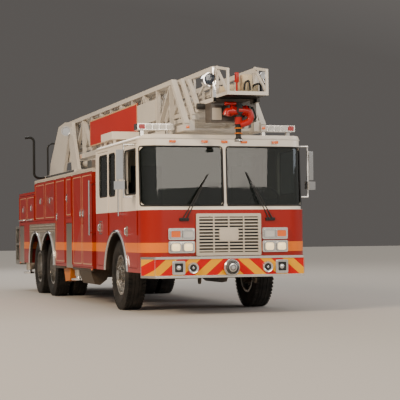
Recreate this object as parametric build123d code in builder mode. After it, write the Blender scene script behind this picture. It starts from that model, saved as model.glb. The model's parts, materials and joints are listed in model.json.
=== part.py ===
from build123d import *
import os
from math import atan2, cos, degrees, hypot, radians, sin

os.makedirs("parts", exist_ok=True)

# Frame: +X is the vehicle's left, -Y its front, +Z up, and the ground is Z = 0.
# Lengths are millimetres. A station is a distance behind the front axle.

# Overall reach, from the front axle
tip_reach = 2720
tail_rear_station = 9200
front_axle_y = (tip_reach - tail_rear_station) / 2

# Fits
seat_gap = 0.3
pin_clear = 0.05
slide_clear = 0.5
door_gap = 8
hinge_radius = 7
hinge_pin_radius = 3
hinge_leaf_width = 16
hinge_leaf_wall = 2

sides = (("right", -1), ("left", 1))

# Wheels and axles
tyre_radius = 535
axle_z = tyre_radius
rim_radius = 286
rim_flange_radius = 307
rim_wall = 13
rim_flange_wall = 12
disc_wall = 16
front_tyre_width = 315
rear_tyre_width = 295
front_tyre_x = 1020
twin_outer_x = 1030
twin_spacing = 340
hub_radius = 112
hub_cap_radius = 82
spindle_radius = 35
rear_spindle_radius = 55
first_rear_station = 5430
tandem_spacing = 1370
rear_stations = (first_rear_station, first_rear_station + tandem_spacing)
kingpin_x = 900
kingpin_radius = 25
knuckle_half_height = 145
lug_height = 40
hand_hole_count = 10
hand_hole_radius = 26
hand_hole_ring = 178
dish_radius = 215

# Chassis rails
rail_x = 420
rail_width = 80
rail_wall = 12
rail_bottom_z = 720
rail_height = 260
rail_top_z = rail_bottom_z + rail_height
rail_rear_station = 8900
tow_eye_z = 490
tow_eye_radius = 55
tow_pin_radius = 24
tow_plate_wall = 25
tow_plate_inner_x = rail_x - 12
tow_eye_inset = 60

# Front bumper
bumper_front_station = -1890
bumper_half_width = 1120
bumper_corner_station = -1600
bumper_bottom_z = 530
bumper_height = 300
bumper_back_gap = 6

# Cab
cab_half_width = 1240
cab_front_station = -1800
cab_rear_station = 1260
cab_bottom_z = 600
cab_belt_z = 1500
cab_roof_z = 2580
cab_wall = 55
cab_corner_radius = 300
screen_bottom_station = -1690
screen_top_station = -1640
screen_corner_radius = 250
roof_edge_radius = 90
cab_floor_z = 1050
cab_floor_wall = 60
tunnel_half_width = 420
tunnel_top_z = 1500
tunnel_rear_station = 900
arch_station = -110
arch_centre_z = 465
arch_radius = 715
arch_trim_width = 50
well_radius = arch_radius + 25
well_wall = 40
well_inner_x = 575
arch_trim_height = 14
step_z = 720
step_inner_x = 760
roof_box_x = (660, 1150)
roof_box_stations = (500, 1250)
roof_box_bottom_z = 2660
roof_box_top_z = 2780

# Cab windows and doors
screen_bottom_z = 1560
screen_top_z = 2410
screen_post_half_width = 30
screen_outer_x = 1225
window_radius = 60
glass_inset = 14
glass_wall = 8
cab_door_wall = 50
cab_door_bottom_z = 670
cab_door_top_z = 2460
cab_door_radius = 45

# Mirrors: heads as width, depth, height and centre height
mirror_station = -1335
mirror_bar_x = 1420
mirror_head_x = 1465
mirror_tube_radius = 11
mirror_turn = 35
mirror_arm_heights = (1690, 2445)
mirror_heads = ((110, 50, 430, 2160), (165, 85, 120, 1860))

# Body sides
body_half_width = 1240
body_inner_x = 620
body_front_station = 1520
body_high_rear_station = 6820
body_rear_station = 8700
body_bottom_z = 600
body_high_top_z = 2240
body_low_top_z = 2030
body_wall = 40
body_door_wall = 40
wheelhouse_front_station = 4700
wheelhouse_rear_station = 7460
wheelhouse_top_z = 1390
fender_arch_top_z = 1200
fender_cusp_z = 860
fender_arch_radius = 600
fender_wall = 40

side_panel_stations = (7500, 8130)
side_panel_heights = (640, 1375)

# Grab rails beside the cab's front door and at the front of the body
grab_rail_x = 1300
grab_rail_radius = 15
body_grab_heights = (1150, 2050)
cab_grab_station = -520
cab_grab_heights = (1430, 2050)

# Outriggers
outrigger_stations = (("front", 3415), ("rear", 8400))
outrigger_cover_width = 530
outrigger_cover_bottom_z = 580
outrigger_cover_top_z = 1365
outrigger_cover_wall = 18
outrigger_beam_width = 190
outrigger_beam_height = 215
outrigger_beam_z = 560
outrigger_beam_offset = 115
outrigger_beam_inner_x = 560
outrigger_housing_half_width = 575
outrigger_housing_wall = 22
jack_x = 1090
jack_tube_radius = 75
jack_leg_radius = 58
jack_tube_bottom_z = 440
jack_tube_top_z = 1340
jack_foot_radius = 135
jack_foot_bottom_z = 360
jack_foot_height = 36

# Turntable and ladder
turntable_station = 6600
tower_half_width = 420
tower_half_length = 600
ring_radius = 500
ring_bottom_z = 2260
ring_top_z = 2300
turntable_deck_bottom_z = 2360
turntable_deck_top_z = 2420
turntable_half_width = 770
turntable_front_station = 5130
turntable_rear_station = 8280
turntable_corner_radius = 30
pedestal_inner_x = 640
pedestal_width = 62
pedestal_foot_z = turntable_deck_top_z - 5
# Pedestal frame: distances behind the pivot, and heights
pedestal_outline = (
    (-1450, pedestal_foot_z), (-1010, 3080), (-900, 3370), (-210, 3420), (430, 3375),
    (1310, 2680), (1450, pedestal_foot_z), (0, pedestal_foot_z), (-560, 3110), (-885, pedestal_foot_z),
)
guard_x = 700
guard_station = 8245
guard_top_z = 3125
guard_radius = 18
pivot_z = 3200
pivot_pin_radius = 45
cylinder_x = 500
barrel_pin_station = turntable_station - 860
barrel_pin_z = 2530
rod_pin_station = turntable_station - 2960
rod_pin_z = 2560
barrel_radius = 72
rod_radius = 48
eye_radius = 55
eye_width = 60
cylinder_pin_radius = 28
rung_pitch = 356
rung_size = 32
base_rail_height = 90
inner_rail_height = 60
top_rail_height = 70
truss_bays = 10
web_inset = 8

# Ladder sections: outer half-width, rail width, bottom, top, then the stations of the
# front end at top and bottom and of the rear end
section_columns = ("name", "outer_x", "rail", "bottom_z", "top_z", "front_top", "front_bottom", "rear")
section_rows = (
    ("ladder_base", 620, 80, 2630, 3430, -1080, -1750, 6950),
    ("ladder_mid", 500, 50, 2790, 3430, -1170, -1720, 6500),
    ("ladder_upper", 420, 50, 2900, 3420, -1270, -1740, 6400),
    ("ladder_fly", 345, 45, 3000, 3500, -2200, -2240, 6300),
)
sections = [dict(zip(section_columns, row)) for row in section_rows]

# Ladder tip
tip_guard_x = 300
tip_guard_tube = 34
tip_guard_station = -2225
tip_floor_z = 3100
tip_floor_wall = 50
tip_head_half_width = 340
tip_head_front_station = -2100
tip_head_rear_station = -1840
tip_head_bottom_z = 2735
monitor_station = -2300
monitor_z = 2870
monitor_barrel_radius = 66
monitor_pin_radius = 30
monitor_drop = 430
spotlight_x = 385
spotlight_station = -2090
spotlight_z = 3310
spotlight_radius = 95

# White box on the right side of the body's top
deck_box_x = (980, 1150)
deck_box_stations = (1950, 2300)
deck_box_height = 180

# Rear
tail_column_inner_x = 960
handrail_x = 1000
handrail_station = turntable_rear_station - 58
handrail_radius = 26
handrail_foot_z = (turntable_deck_bottom_z + turntable_deck_top_z) / 2
handrail_top_z = 3260
handrail_hook = 190


def along(station):
    return front_axle_y + station


def across(station):
    """The plane across the vehicle at a station; its sketch axes are X and Z."""
    return Plane.XZ.offset(-along(station))


def beside(x):
    """The plane along the vehicle at a distance from its middle; its sketch axes are Y and Z."""
    return Plane.YZ.offset(x)


def keep(piece, label):
    piece.part.label = label
    export_step(piece.part, f"parts/{label}.step")


def keep_pair(piece, label, left_label=None):
    """Writes a piece of the left side, and its mirror image for the right side."""
    with BuildPart() as other:
        add(piece.part)
        mirror(about=Plane.YZ, mode=Mode.REPLACE)
    keep(piece, left_label or f"{label}_left")
    keep(other, f"{label}_right")


def block(x0, x1, station0, station1, z0, z1, mode=Mode.ADD):
    """A box between two X, two stations and two heights."""
    centre = ((x0 + x1) / 2, along((station0 + station1) / 2), (z0 + z1) / 2)
    with Locations(centre):
        Box(abs(x1 - x0), abs(station1 - station0), abs(z1 - z0), mode=mode)


def ring_section(x0, x1, inner, outer, mode=Mode.ADD):
    """A rectangle of a wheel's half-section, below the axle, for a full turn."""
    with Locations(((x0 + x1) / 2, axle_z - (inner + outer) / 2)):
        Rectangle(abs(x1 - x0), outer - inner, mode=mode)


def side_polygon(points):
    """A closed face on a plane along the vehicle, from stations and heights."""
    Polygon(*[(along(s), z) for s, z in points], align=None)


def member(start, end, width):
    """A straight truss member between two points, each a station and a height."""
    run, rise = end[0] - start[0], end[1] - start[1]
    length = hypot(run, rise)
    with Locations(Location((along((start[0] + end[0]) / 2), (start[1] + end[1]) / 2), degrees(atan2(rise, run)))):
        Rectangle(length, width)


# Wheels: each node holds its tyre or tyres and the wheel that carries them
def tyre_section(centre_x, width):
    half = width / 2
    points = (
        (-half + 45, rim_radius),
        (-half + 45, rim_flange_radius + 3),
        (-half, (rim_radius + tyre_radius) / 2),
        (-half + 24, tyre_radius - 22),
        (-half + 62, tyre_radius),
    )
    outline = list(points) + [(-x, r) for x, r in reversed(points)]
    Polygon(*[(centre_x + x, axle_z - r) for x, r in outline], align=None)


def rim_section(centre_x, width):
    half = width / 2 - 45 + seat_gap
    barrel = rim_radius - seat_gap
    ring_section(centre_x - half - rim_flange_wall, centre_x + half + rim_flange_wall, barrel - rim_wall, barrel)
    for side in (-1, 1):
        edge = centre_x + side * half
        ring_section(edge, edge + side * rim_flange_wall, barrel - rim_wall, rim_flange_radius)


def dish_section(hub_x, rim_x, wall):
    """A wheel disc that runs flat from the hub and then slants to its rim."""
    inner = rim_radius - seat_gap - rim_wall + 2
    points = (
        (hub_x, hub_radius - 2), (hub_x, dish_radius), (rim_x, inner),
        (rim_x + wall, inner), (hub_x + wall, dish_radius), (hub_x + wall, hub_radius - 2),
    )
    Polygon(*[(x, axle_z - r) for x, r in points], align=None)


def wheel(label, station, tyre_centres, width, disc_x, dishes, hub_inner_x, bore_radius):
    """A left wheel with its tyres; its dishes, hub and cap face outwards."""
    spin = Axis((0, along(station), axle_z), (1, 0, 0))
    with BuildPart() as tyres:
        with BuildSketch(across(station)):
            for centre in tyre_centres:
                tyre_section(centre, width)
        revolve(axis=spin)
    with BuildPart() as disc:
        with BuildSketch(across(station)):
            for centre in tyre_centres:
                rim_section(centre, width)
            for hub_x, rim_x, wall in dishes:
                dish_section(hub_x, rim_x, wall)
            ring_section(hub_inner_x, (disc_x + 30), 0, hub_radius)
            ring_section((disc_x + 30), (disc_x + 78), 0, hub_cap_radius)
            ring_section(hub_inner_x, disc_x, 0, bore_radius, mode=Mode.SUBTRACT)
        revolve(axis=spin)
        with BuildSketch(Plane(origin=((disc_x + 5), along(station), axle_z), x_dir=(0, 1, 0), z_dir=(1, 0, 0))):
            with PolarLocations(hand_hole_ring, hand_hole_count):
                Circle(hand_hole_radius)
        extrude(amount=-(2 * disc_wall + 10), mode=Mode.SUBTRACT)
    with BuildPart() as whole:
        add(tyres.part)
        add(disc.part)
    keep_pair(whole, label)


front_disc_x = front_tyre_x + 96
twin_disc_x = twin_outer_x - twin_spacing / 2
front_dishes = ((front_disc_x - disc_wall, front_tyre_x + 60, disc_wall),)
twin_dishes = ((twin_disc_x, twin_disc_x + 80, disc_wall), (twin_disc_x, twin_disc_x - 80, -disc_wall))
wheel(
    "wheel_front", 0, (front_tyre_x,), front_tyre_width,
    front_disc_x, front_dishes, kingpin_x + 105, spindle_radius + pin_clear,
)
for number, station in enumerate(rear_stations, start=1):
    wheel(
        f"wheel_rear_{number}", station, (twin_outer_x - twin_spacing, twin_outer_x),
        rear_tyre_width, twin_disc_x + disc_wall, twin_dishes, 560, rear_spindle_radius + pin_clear,
    )


# Steering knuckles: two lugs on the kingpin, a web, the brake plate and the spindle
with BuildPart() as knuckle:
    web_x = kingpin_x + 60
    for lug_sign in (-1, 1):
        lug_top = axle_z + lug_sign * knuckle_half_height
        block((kingpin_x - 45), (web_x + 25), -60, 60, lug_top - lug_sign * lug_height, lug_top)
    block(web_x, (web_x + 25), -60, 60, axle_z - knuckle_half_height, axle_z + knuckle_half_height)
    with BuildSketch(beside(web_x)):
        with Locations((along(0), axle_z)):
            Circle(200)
    extrude(amount=14)
    with BuildSketch(beside((web_x + 20))):
        with Locations((along(0), axle_z)):
            Circle(spindle_radius)
    extrude(amount=120)
    with Locations((kingpin_x, along(0), axle_z)):
        Cylinder(kingpin_radius + pin_clear, 2 * knuckle_half_height + 20, mode=Mode.SUBTRACT)
keep_pair(knuckle, "knuckle")


# Axles: the front beam with its kingpins and leaf springs, and the rear bogie
with BuildPart() as front_axle:
    block(-kingpin_x + 20, kingpin_x - 20, -45, 45, axle_z - 75, axle_z + 55)
    lug_space = knuckle_half_height - lug_height - slide_clear
    for side_name, side in sides:
        with Locations((side * kingpin_x, along(0), axle_z)):
            Cylinder(45, 2 * lug_space)
            Cylinder(kingpin_radius, 2 * knuckle_half_height)
        with BuildSketch(beside(side * (rail_x - 35))):
            with BuildLine():
                ThreePointArc((along(-700), rail_bottom_z), (along(0), axle_z + 95), (along(700), rail_bottom_z))
                Line((along(700), rail_bottom_z), (along(700), rail_bottom_z - 28))
                ThreePointArc((along(700), rail_bottom_z - 28), (along(0), axle_z + 50), (along(-700), rail_bottom_z - 28))
                Line((along(-700), rail_bottom_z - 28), (along(-700), rail_bottom_z))
            make_face()
        extrude(amount=side * 70)

with BuildPart() as rear_bogie:
    for station in rear_stations:
        with Locations(Location((0, along(station), axle_z), (0, 90, 0))):
            Cylinder(75, 2 * 520)
            Cylinder(rear_spindle_radius, 2 * (twin_outer_x - 160))
        with BuildSketch(across(station)):
            housing = ((-230, 70), (-150, 150), (-70, 200), (70, 200), (150, 150), (230, 70))
            outline = [(-230, 0)] + list(housing) + [(230, 0)]
            Polygon(*[(x, axle_z + r) for x, r in outline], align=None)
        revolve(axis=Axis((0, along(station), axle_z), (1, 0, 0)))
        for side_name, side in sides:
            with Locations(Location((side * 525, along(station), axle_z), (0, 90, 0))):
                Cylinder(200, 30)
    middle = (rear_stations[0] + rear_stations[1]) / 2
    for side_name, side in sides:
        block(side * (rail_x - 35), side * (rail_x + 35), rear_stations[0], rear_stations[1], axle_z - 60, axle_z + 60)
        block(side * (rail_x - 35), side * (rail_x + 35), middle - 130, middle + 130, axle_z, rail_bottom_z)

with BuildPart() as axles:
    add(front_axle.part)
    add(rear_bogie.part)
keep(axles, "axles")


# Chassis: two channel rails, crossmembers, outrigger housings and the turntable's tower
with BuildPart() as chassis:
    rail_front = cab_front_station + cab_wall + 5
    bracket_front = cab_front_station - bumper_back_gap
    for side_name, side in sides:
        block(side * (rail_x - 35), side * (rail_x + 35), bracket_front, rail_front + 30, rail_bottom_z + 10, 825)
        with BuildSketch(across(rail_front)):
            with Locations((side * rail_x, rail_bottom_z + rail_height / 2)):
                Rectangle(rail_width, rail_height)
            with Locations((side * (rail_x - rail_wall), rail_bottom_z + rail_height / 2)):
                Rectangle(rail_width, rail_height - 2 * rail_wall, mode=Mode.SUBTRACT)
        extrude(amount=rail_front - rail_rear_station)
    for station in (-1500, 1350, 2600, 4600, 6115, 7900, 8850):
        inner = rail_x + rail_width / 2 - rail_wall
        block(-inner, inner, station - 40, station + 40, rail_bottom_z + rail_wall, rail_top_z - rail_wall)
    for side in (-1, 1):
        for station in (-1250, 1150):
            block(side * (rail_x - 15), side * (rail_x + 30), station - 40, station + 40, rail_top_z - 5, cab_floor_z - cab_floor_wall)
    for place, station in outrigger_stations:
        half = outrigger_beam_offset + outrigger_beam_width / 2 + slide_clear + outrigger_housing_wall
        low = outrigger_beam_z - outrigger_beam_height / 2 - slide_clear - outrigger_housing_wall
        block(-outrigger_housing_half_width, outrigger_housing_half_width, station - half, station + half, low, rail_bottom_z)
        for side in (-1, 1):
            with BuildSketch(beside(-outrigger_housing_half_width - 5)):
                with Locations((along(station + side * outrigger_beam_offset), outrigger_beam_z)):
                    Rectangle(outrigger_beam_width + 2 * slide_clear, outrigger_beam_height + 2 * slide_clear)
            extrude(amount=2 * outrigger_housing_half_width + 10, mode=Mode.SUBTRACT)
    block(
        -tower_half_width, tower_half_width, turntable_station - tower_half_length,
        turntable_station + tower_half_length, rail_top_z, ring_bottom_z,
    )
    with BuildSketch(Plane.XY.offset(ring_bottom_z)):
        with Locations((0, along(turntable_station))):
            Circle(ring_radius)
    extrude(amount=ring_top_z - ring_bottom_z)
    for end_station in (bracket_front + tow_eye_inset, rail_rear_station - tow_eye_inset):
        for side in (-1, 1):
            with BuildSketch(beside(side * tow_plate_inner_x)):
                with Locations((along(end_station), tow_eye_z)):
                    Circle(tow_eye_radius)
                with Locations((along(end_station), (tow_eye_z + rail_bottom_z + 10) / 2)):
                    Rectangle(2 * tow_eye_radius, rail_bottom_z + 10 - tow_eye_z)
                with Locations((along(end_station), tow_eye_z)):
                    Circle(tow_pin_radius, mode=Mode.SUBTRACT)
            extrude(amount=side * tow_plate_wall)
keep(chassis, "chassis_frame")


# Engine: one plain block between the rails, under the cab's tunnel
with BuildPart() as engine:
    half = rail_x - rail_width / 2 - 20
    block(-half, half, -700, 760, rail_bottom_z - 80, tunnel_top_z - 160)
    chamfer(engine.edges().filter_by(Axis.Y), 60)
    for side in (-1, 1):
        for station in (-420, 520):
            foot_z = rail_bottom_z + rail_wall
            block(side * (half - 5), side * (rail_x + 5), station - 45, station + 45, foot_z, foot_z + 50)
keep(engine, "engine_block")


# Front bumper with its siren, horns and lamp boxes
with BuildPart() as bumper:
    with BuildSketch(Plane.XY.offset(bumper_bottom_z)):
        with BuildLine():
            Polyline(
                (-bumper_half_width, along(bumper_front_station)),
                (bumper_half_width, along(bumper_front_station)),
                (cab_half_width, along(bumper_corner_station)),
                (cab_half_width, along(bumper_corner_station + 90)),
                (-cab_half_width, along(bumper_corner_station + 90)),
                (-cab_half_width, along(bumper_corner_station)),
                close=True,
            )
        make_face()
        length = cab_rear_station - cab_front_station + 2 * bumper_back_gap
        with Locations((0, along((cab_rear_station + cab_front_station) / 2))):
            RectangleRounded(
                2 * (cab_half_width + bumper_back_gap), length, cab_corner_radius + bumper_back_gap, mode=Mode.SUBTRACT
            )
    extrude(amount=bumper_height)
    for low, high in ((bumper_bottom_z, bumper_bottom_z + 32), (bumper_bottom_z + bumper_height - 32, bumper_bottom_z + bumper_height)):
        block(-bumper_half_width + 10, bumper_half_width - 10, bumper_front_station - 14, bumper_front_station + 5, low, high)
    mid_z = bumper_bottom_z + bumper_height / 2 - 10
    with BuildSketch(Plane.YZ):
        with BuildLine():
            nose = along(bumper_front_station)
            Polyline((nose + 5, mid_z), (nose + 5, mid_z + 120), (nose - 70, mid_z + 120), (nose - 84, mid_z + 104))
            ThreePointArc((nose - 84, mid_z + 104), (nose - 112, mid_z + 72), (nose - 124, mid_z + 30))
            Polyline((nose - 124, mid_z + 30), (nose - 124, mid_z), (nose + 5, mid_z))
        make_face()
    revolve(axis=Axis((0, 0, mid_z), (0, 1, 0)))
    for side in (-1, 1):
        with BuildSketch(across(bumper_front_station)):
            with Locations((side * 560, mid_z)):
                Circle(82)
                Circle(66, mode=Mode.SUBTRACT)
            with Locations((side * 560, mid_z)):
                Circle(40)
            with Locations((side * 775, mid_z + 5)):
                RectangleRounded(190, 195, 18)
        extrude(amount=22)
keep(bumper, "front_bumper")


# Cab outline drawn in by an even inset, from a floor to the roof
def cab_form(inset, floor_z, roof_z):
    half = cab_half_width - inset
    rear = cab_rear_station - inset

    def plan(front, radius):
        outer_y, back_y = along(front), along(rear)
        arc = radius - inset
        with BuildLine() as outline:
            Polyline((-half, outer_y + arc), (-half, back_y), (half, back_y), (half, outer_y + arc))
            ThreePointArc(
                (half, outer_y + arc),
                (half - arc + arc * cos(radians(45)), outer_y + arc - arc * sin(radians(45))),
                (half - arc, outer_y),
            )
            Line((half - arc, outer_y), (-half + arc, outer_y))
            ThreePointArc(
                (-half + arc, outer_y),
                (-half + arc - arc * cos(radians(45)), outer_y + arc - arc * sin(radians(45))),
                (-half, outer_y + arc),
            )
        make_face(outline.edges())

    belt_z = cab_belt_z - inset
    with BuildPart() as form:
        if floor_z < belt_z:
            with BuildSketch(Plane.XY.offset(floor_z)):
                plan(cab_front_station + inset, cab_corner_radius)
            extrude(amount=belt_z - floor_z)
        with BuildSketch(Plane.XY.offset(min(belt_z, cab_belt_z - inset))):
            plan(screen_bottom_station + inset, screen_corner_radius)
        with BuildSketch(Plane.XY.offset(roof_z)):
            plan(screen_top_station + inset, screen_corner_radius)
        loft(ruled=True)
        with BuildSketch(across(cab_front_station - 100)):
            edge = roof_edge_radius - inset / 2
            with BuildLine():
                Polyline((-half - 1, floor_z - 1), (half + 1, floor_z - 1), (half + 1, roof_z - edge), (half, roof_z - edge))
                ThreePointArc(
                    (half, roof_z - edge),
                    (half - edge + edge * cos(radians(45)), roof_z - edge + edge * sin(radians(45))),
                    (half - edge, roof_z),
                )
                Line((half - edge, roof_z), (-half + edge, roof_z))
                ThreePointArc(
                    (-half + edge, roof_z),
                    (-half + edge - edge * cos(radians(45)), roof_z - edge + edge * sin(radians(45))),
                    (-half, roof_z - edge),
                )
                Polyline((-half, roof_z - edge), (-half - 1, roof_z - edge), (-half - 1, floor_z - 1))
            make_face()
        extrude(amount=-(cab_rear_station - cab_front_station + 200), mode=Mode.INTERSECT)
    return form.part


# Cab doors: name, front and rear station, window front and rear station
cab_door_rows = (
    ("front", -1400, -630, -1370, -680, 1735, 2395),
    ("crew", 385, 1170, 440, 1000, 1750, 2413),
)
fixed_window = (-75, 335, 1745, 2410)
cab_hinge_heights = (1140, 2400)


def cab_door_outline(row, grow):
    name, front, rear = row[:3]
    with Locations((along((front + rear) / 2), (cab_door_bottom_z + cab_door_top_z) / 2)):
        RectangleRounded(
            rear - front + 2 * grow, cab_door_top_z - cab_door_bottom_z + 2 * grow, cab_door_radius + grow
        )
    with Locations((along(arch_station), arch_centre_z)):
        Circle(arch_radius + arch_trim_width + 30 - grow, mode=Mode.SUBTRACT)


def hinge_line(side, half_width, pin_station, toward_door, low, high, part):
    """One half of a piano hinge on an outside face: the frame's half holds the pin."""
    x = side * (half_width + hinge_radius)
    knuckle_length = 40
    if part == "door":
        spans = ((low + knuckle_length + slide_clear, high - knuckle_length - slide_clear),)
    else:
        spans = ((low, low + knuckle_length), (high - knuckle_length, high))
    reach = toward_door if part == "door" else -toward_door
    for bottom, top in spans:
        with Locations((x, along(pin_station), (bottom + top) / 2)):
            Cylinder(hinge_radius, top - bottom)
        near, far = pin_station + reach * 1, pin_station + reach * hinge_leaf_width
        block(side * half_width, side * (half_width + hinge_leaf_wall), near, far, bottom, top)
    with Locations((x, along(pin_station), (low + high) / 2)):
        if part == "door":
            Cylinder(hinge_pin_radius + pin_clear, high - low, mode=Mode.SUBTRACT)
        else:
            Cylinder(hinge_pin_radius, high - low)


def window_outline(front, rear, low, high, inset=0, mode=Mode.ADD):
    with Locations((along((front + rear) / 2), (low + high) / 2)):
        RectangleRounded(rear - front - 2 * inset, high - low - 2 * inset, window_radius - inset, mode=mode)


def screen_outline(side, inset=0):
    width = screen_outer_x - screen_post_half_width
    with Locations((side * (screen_post_half_width + width / 2), (screen_bottom_z + screen_top_z) / 2)):
        RectangleRounded(width - 2 * inset, screen_top_z - screen_bottom_z - 2 * inset, window_radius + 20 - inset)


outer_form = cab_form(0, cab_bottom_z, cab_roof_z)
inner_form = cab_form(cab_wall, cab_floor_z, cab_roof_z - cab_wall)
glass_outer = cab_form(glass_inset, cab_floor_z, cab_roof_z - glass_inset)
glass_inner = cab_form(glass_inset + glass_wall, cab_floor_z - 10, cab_roof_z - glass_inset - glass_wall)

under_x = cab_half_width - cab_wall
step_pockets = ((-1380, -900), (830, 1180))

# What stands inside the left half of the cab: the wheel well and the step wells
with BuildPart() as cab_side_form:
    with BuildSketch(beside(well_inner_x - well_wall)):
        with Locations((along(arch_station), arch_centre_z)):
            Circle(well_radius + well_wall)
        with Locations((along(arch_station), cab_bottom_z - well_radius)):
            Rectangle(3 * well_radius, 2 * well_radius, mode=Mode.SUBTRACT)
    extrude(amount=cab_half_width - cab_wall - well_inner_x + well_wall + 5)
    for front, rear in step_pockets:
        block(step_inner_x - 40, under_x + 1, front - 40, rear + 40, step_z - 40, cab_floor_z - 20)

# What is cut from the left half: the well, the steps, the arch, doors, window and windscreen
with BuildPart() as cab_side_cut:
    with BuildSketch(beside(well_inner_x)):
        with Locations((along(arch_station), arch_centre_z)):
            Circle(well_radius)
    extrude(amount=cab_half_width - cab_wall - well_inner_x + 2)
    for front, rear in step_pockets:
        block(step_inner_x, under_x + 2, front, rear, step_z, cab_floor_z + 20)
    with BuildSketch(beside(under_x - 5)):
        for row in cab_door_rows:
            cab_door_outline(row, door_gap)
        window_outline(*fixed_window)
        with Locations((along(arch_station), arch_centre_z)):
            Circle(arch_radius)
    extrude(amount=cab_wall + 20)
    with BuildSketch(across(screen_top_station + screen_corner_radius - 10)):
        screen_outline(1)
    extrude(amount=400)

# What the left half carries outside: the frame's halves of the door hinges
with BuildPart() as cab_side_trim:
    for row in cab_door_rows:
        hinge_line(1, cab_half_width, row[1] - door_gap / 2, 1, *cab_hinge_heights, "frame")

    with Locations((grab_rail_x, along(cab_grab_station), sum(cab_grab_heights) / 2)):
        Cylinder(grab_rail_radius, cab_grab_heights[1] - cab_grab_heights[0])
    for height in (cab_grab_heights[0] + 30, cab_grab_heights[1] - 30):
        block(cab_half_width - 5, grab_rail_x, cab_grab_station - 10, cab_grab_station + 10, height - 10, height + 10)

# A box on four feet at each side of the cab's roof
with BuildPart() as roof_boxes:
    block(*roof_box_x, *roof_box_stations, roof_box_bottom_z, roof_box_top_z)
    foot_height = roof_box_bottom_z + 5 - cab_roof_z - seat_gap
    foot_z = cab_roof_z + seat_gap + foot_height / 2
    inset = 60
    feet = [
        (x, along(station), foot_z)
        for x in (roof_box_x[0] + inset, roof_box_x[1] - inset)
        for station in (roof_box_stations[0] + inset, roof_box_stations[1] - inset)
    ]
    with Locations(*feet):
        Box(40, 40, foot_height)
    mirror(about=Plane.YZ)

with BuildPart() as cab_shell:
    add(outer_form)
    add(inner_form, mode=Mode.SUBTRACT)
    with BuildSketch(Plane.XY.offset(cab_bottom_z - 10)):
        with Locations((0, along((cab_front_station + cab_rear_station) / 2))):
            RectangleRounded(
                2 * under_x, cab_rear_station - cab_front_station - 2 * cab_wall, cab_corner_radius - cab_wall
            )
    extrude(amount=cab_floor_z - cab_floor_wall - cab_bottom_z + 10, mode=Mode.SUBTRACT)
    add(cab_side_form.part)
    add(mirror(cab_side_form.part, about=Plane.YZ, mode=Mode.PRIVATE))
    block(
        -tunnel_half_width, tunnel_half_width, cab_front_station + cab_wall - 5, tunnel_rear_station,
        cab_floor_z - cab_floor_wall, tunnel_top_z,
    )
    block(
        -tunnel_half_width + 40, tunnel_half_width - 40, cab_front_station + cab_wall, tunnel_rear_station - 40,
        cab_floor_z - cab_floor_wall - 5, tunnel_top_z - 40, mode=Mode.SUBTRACT,
    )
    add(cab_side_cut.part, mode=Mode.SUBTRACT)
    add(mirror(cab_side_cut.part, about=Plane.YZ, mode=Mode.PRIVATE), mode=Mode.SUBTRACT)
    block(-470, 470, cab_front_station - 20, cab_front_station + cab_wall + 5, 860, 1420, mode=Mode.SUBTRACT)
    block(-560, 560, cab_front_station - 20, cab_front_station + cab_wall + 5, 500, 835, mode=Mode.SUBTRACT)
    block(
        -530, 530, cab_rear_station - cab_wall - 5, cab_rear_station + 20, 500, cab_floor_z - cab_floor_wall,
        mode=Mode.SUBTRACT,
    )
    add(cab_side_trim.part)
    add(mirror(cab_side_trim.part, about=Plane.YZ, mode=Mode.PRIVATE))
    add(roof_boxes.part)
keep(cab_shell, "cab_shell")

with BuildPart() as cab_glass:
    for side_name, side in sides:
        with BuildSketch(across(screen_top_station + screen_corner_radius - 10)):
            screen_outline(side, seat_gap)
        extrude(amount=400)
        with BuildSketch(beside(side * (cab_half_width - 60))):
            window_outline(*fixed_window, inset=seat_gap)
        extrude(amount=side * 70)
    with BuildPart(mode=Mode.PRIVATE) as glass_skin:
        add(glass_outer)
        add(glass_inner, mode=Mode.SUBTRACT)
    add(glass_skin.part, mode=Mode.INTERSECT)
keep(cab_glass, "cab_glass")


# Cab interior: dashboard, seats and steering wheel
seat_rows = (("driver", 800, -420, 1250), ("officer", -800, -420, 1250), ("crew_left", 700, 960, 1050), ("crew_right", -700, 960, 1050))
with BuildPart() as cab_interior:
    with BuildSketch(beside(-1080)):
        side_polygon(((-1560, 1540), (-1380, 1530), (-1290, 1440), (-1330, 1330), (-1440, 1260), (-1560, 1260)))
    extrude(amount=2160)
    block(
        -tunnel_half_width, tunnel_half_width, -1600, -1200, 1200, tunnel_top_z, mode=Mode.SUBTRACT
    )
    for name, x, station, floor_z in seat_rows:
        seat_top = floor_z + 330
        block(x - 190, x + 190, station - 200, station + 180, cab_floor_z, seat_top - 90)
        block(x - 235, x + 235, station - 260, station + 200, seat_top - 90, seat_top)
        block(x - 225, x + 225, station + 110, station + 210, seat_top, seat_top + 620)
    for side in (-1, 1):
        with BuildSketch(beside(side * (well_inner_x - well_wall - 5))):
            with Locations((along(arch_station), arch_centre_z)):
                Circle(well_radius + well_wall + seat_gap)
        extrude(amount=side * (cab_half_width - well_inner_x), mode=Mode.SUBTRACT)
    wheel_x, wheel_station, wheel_z = 800, -1120, 1640
    tilt = Location((wheel_x, along(wheel_station), wheel_z), (-55, 0, 0))
    with Locations(tilt):
        Torus(225, 16)
        Box(440, 40, 16)
        Cylinder(45, 40)
        with Locations((0, 0, -140)):
            Cylinder(25, 280)
keep(cab_interior, "cab_interior")


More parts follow.
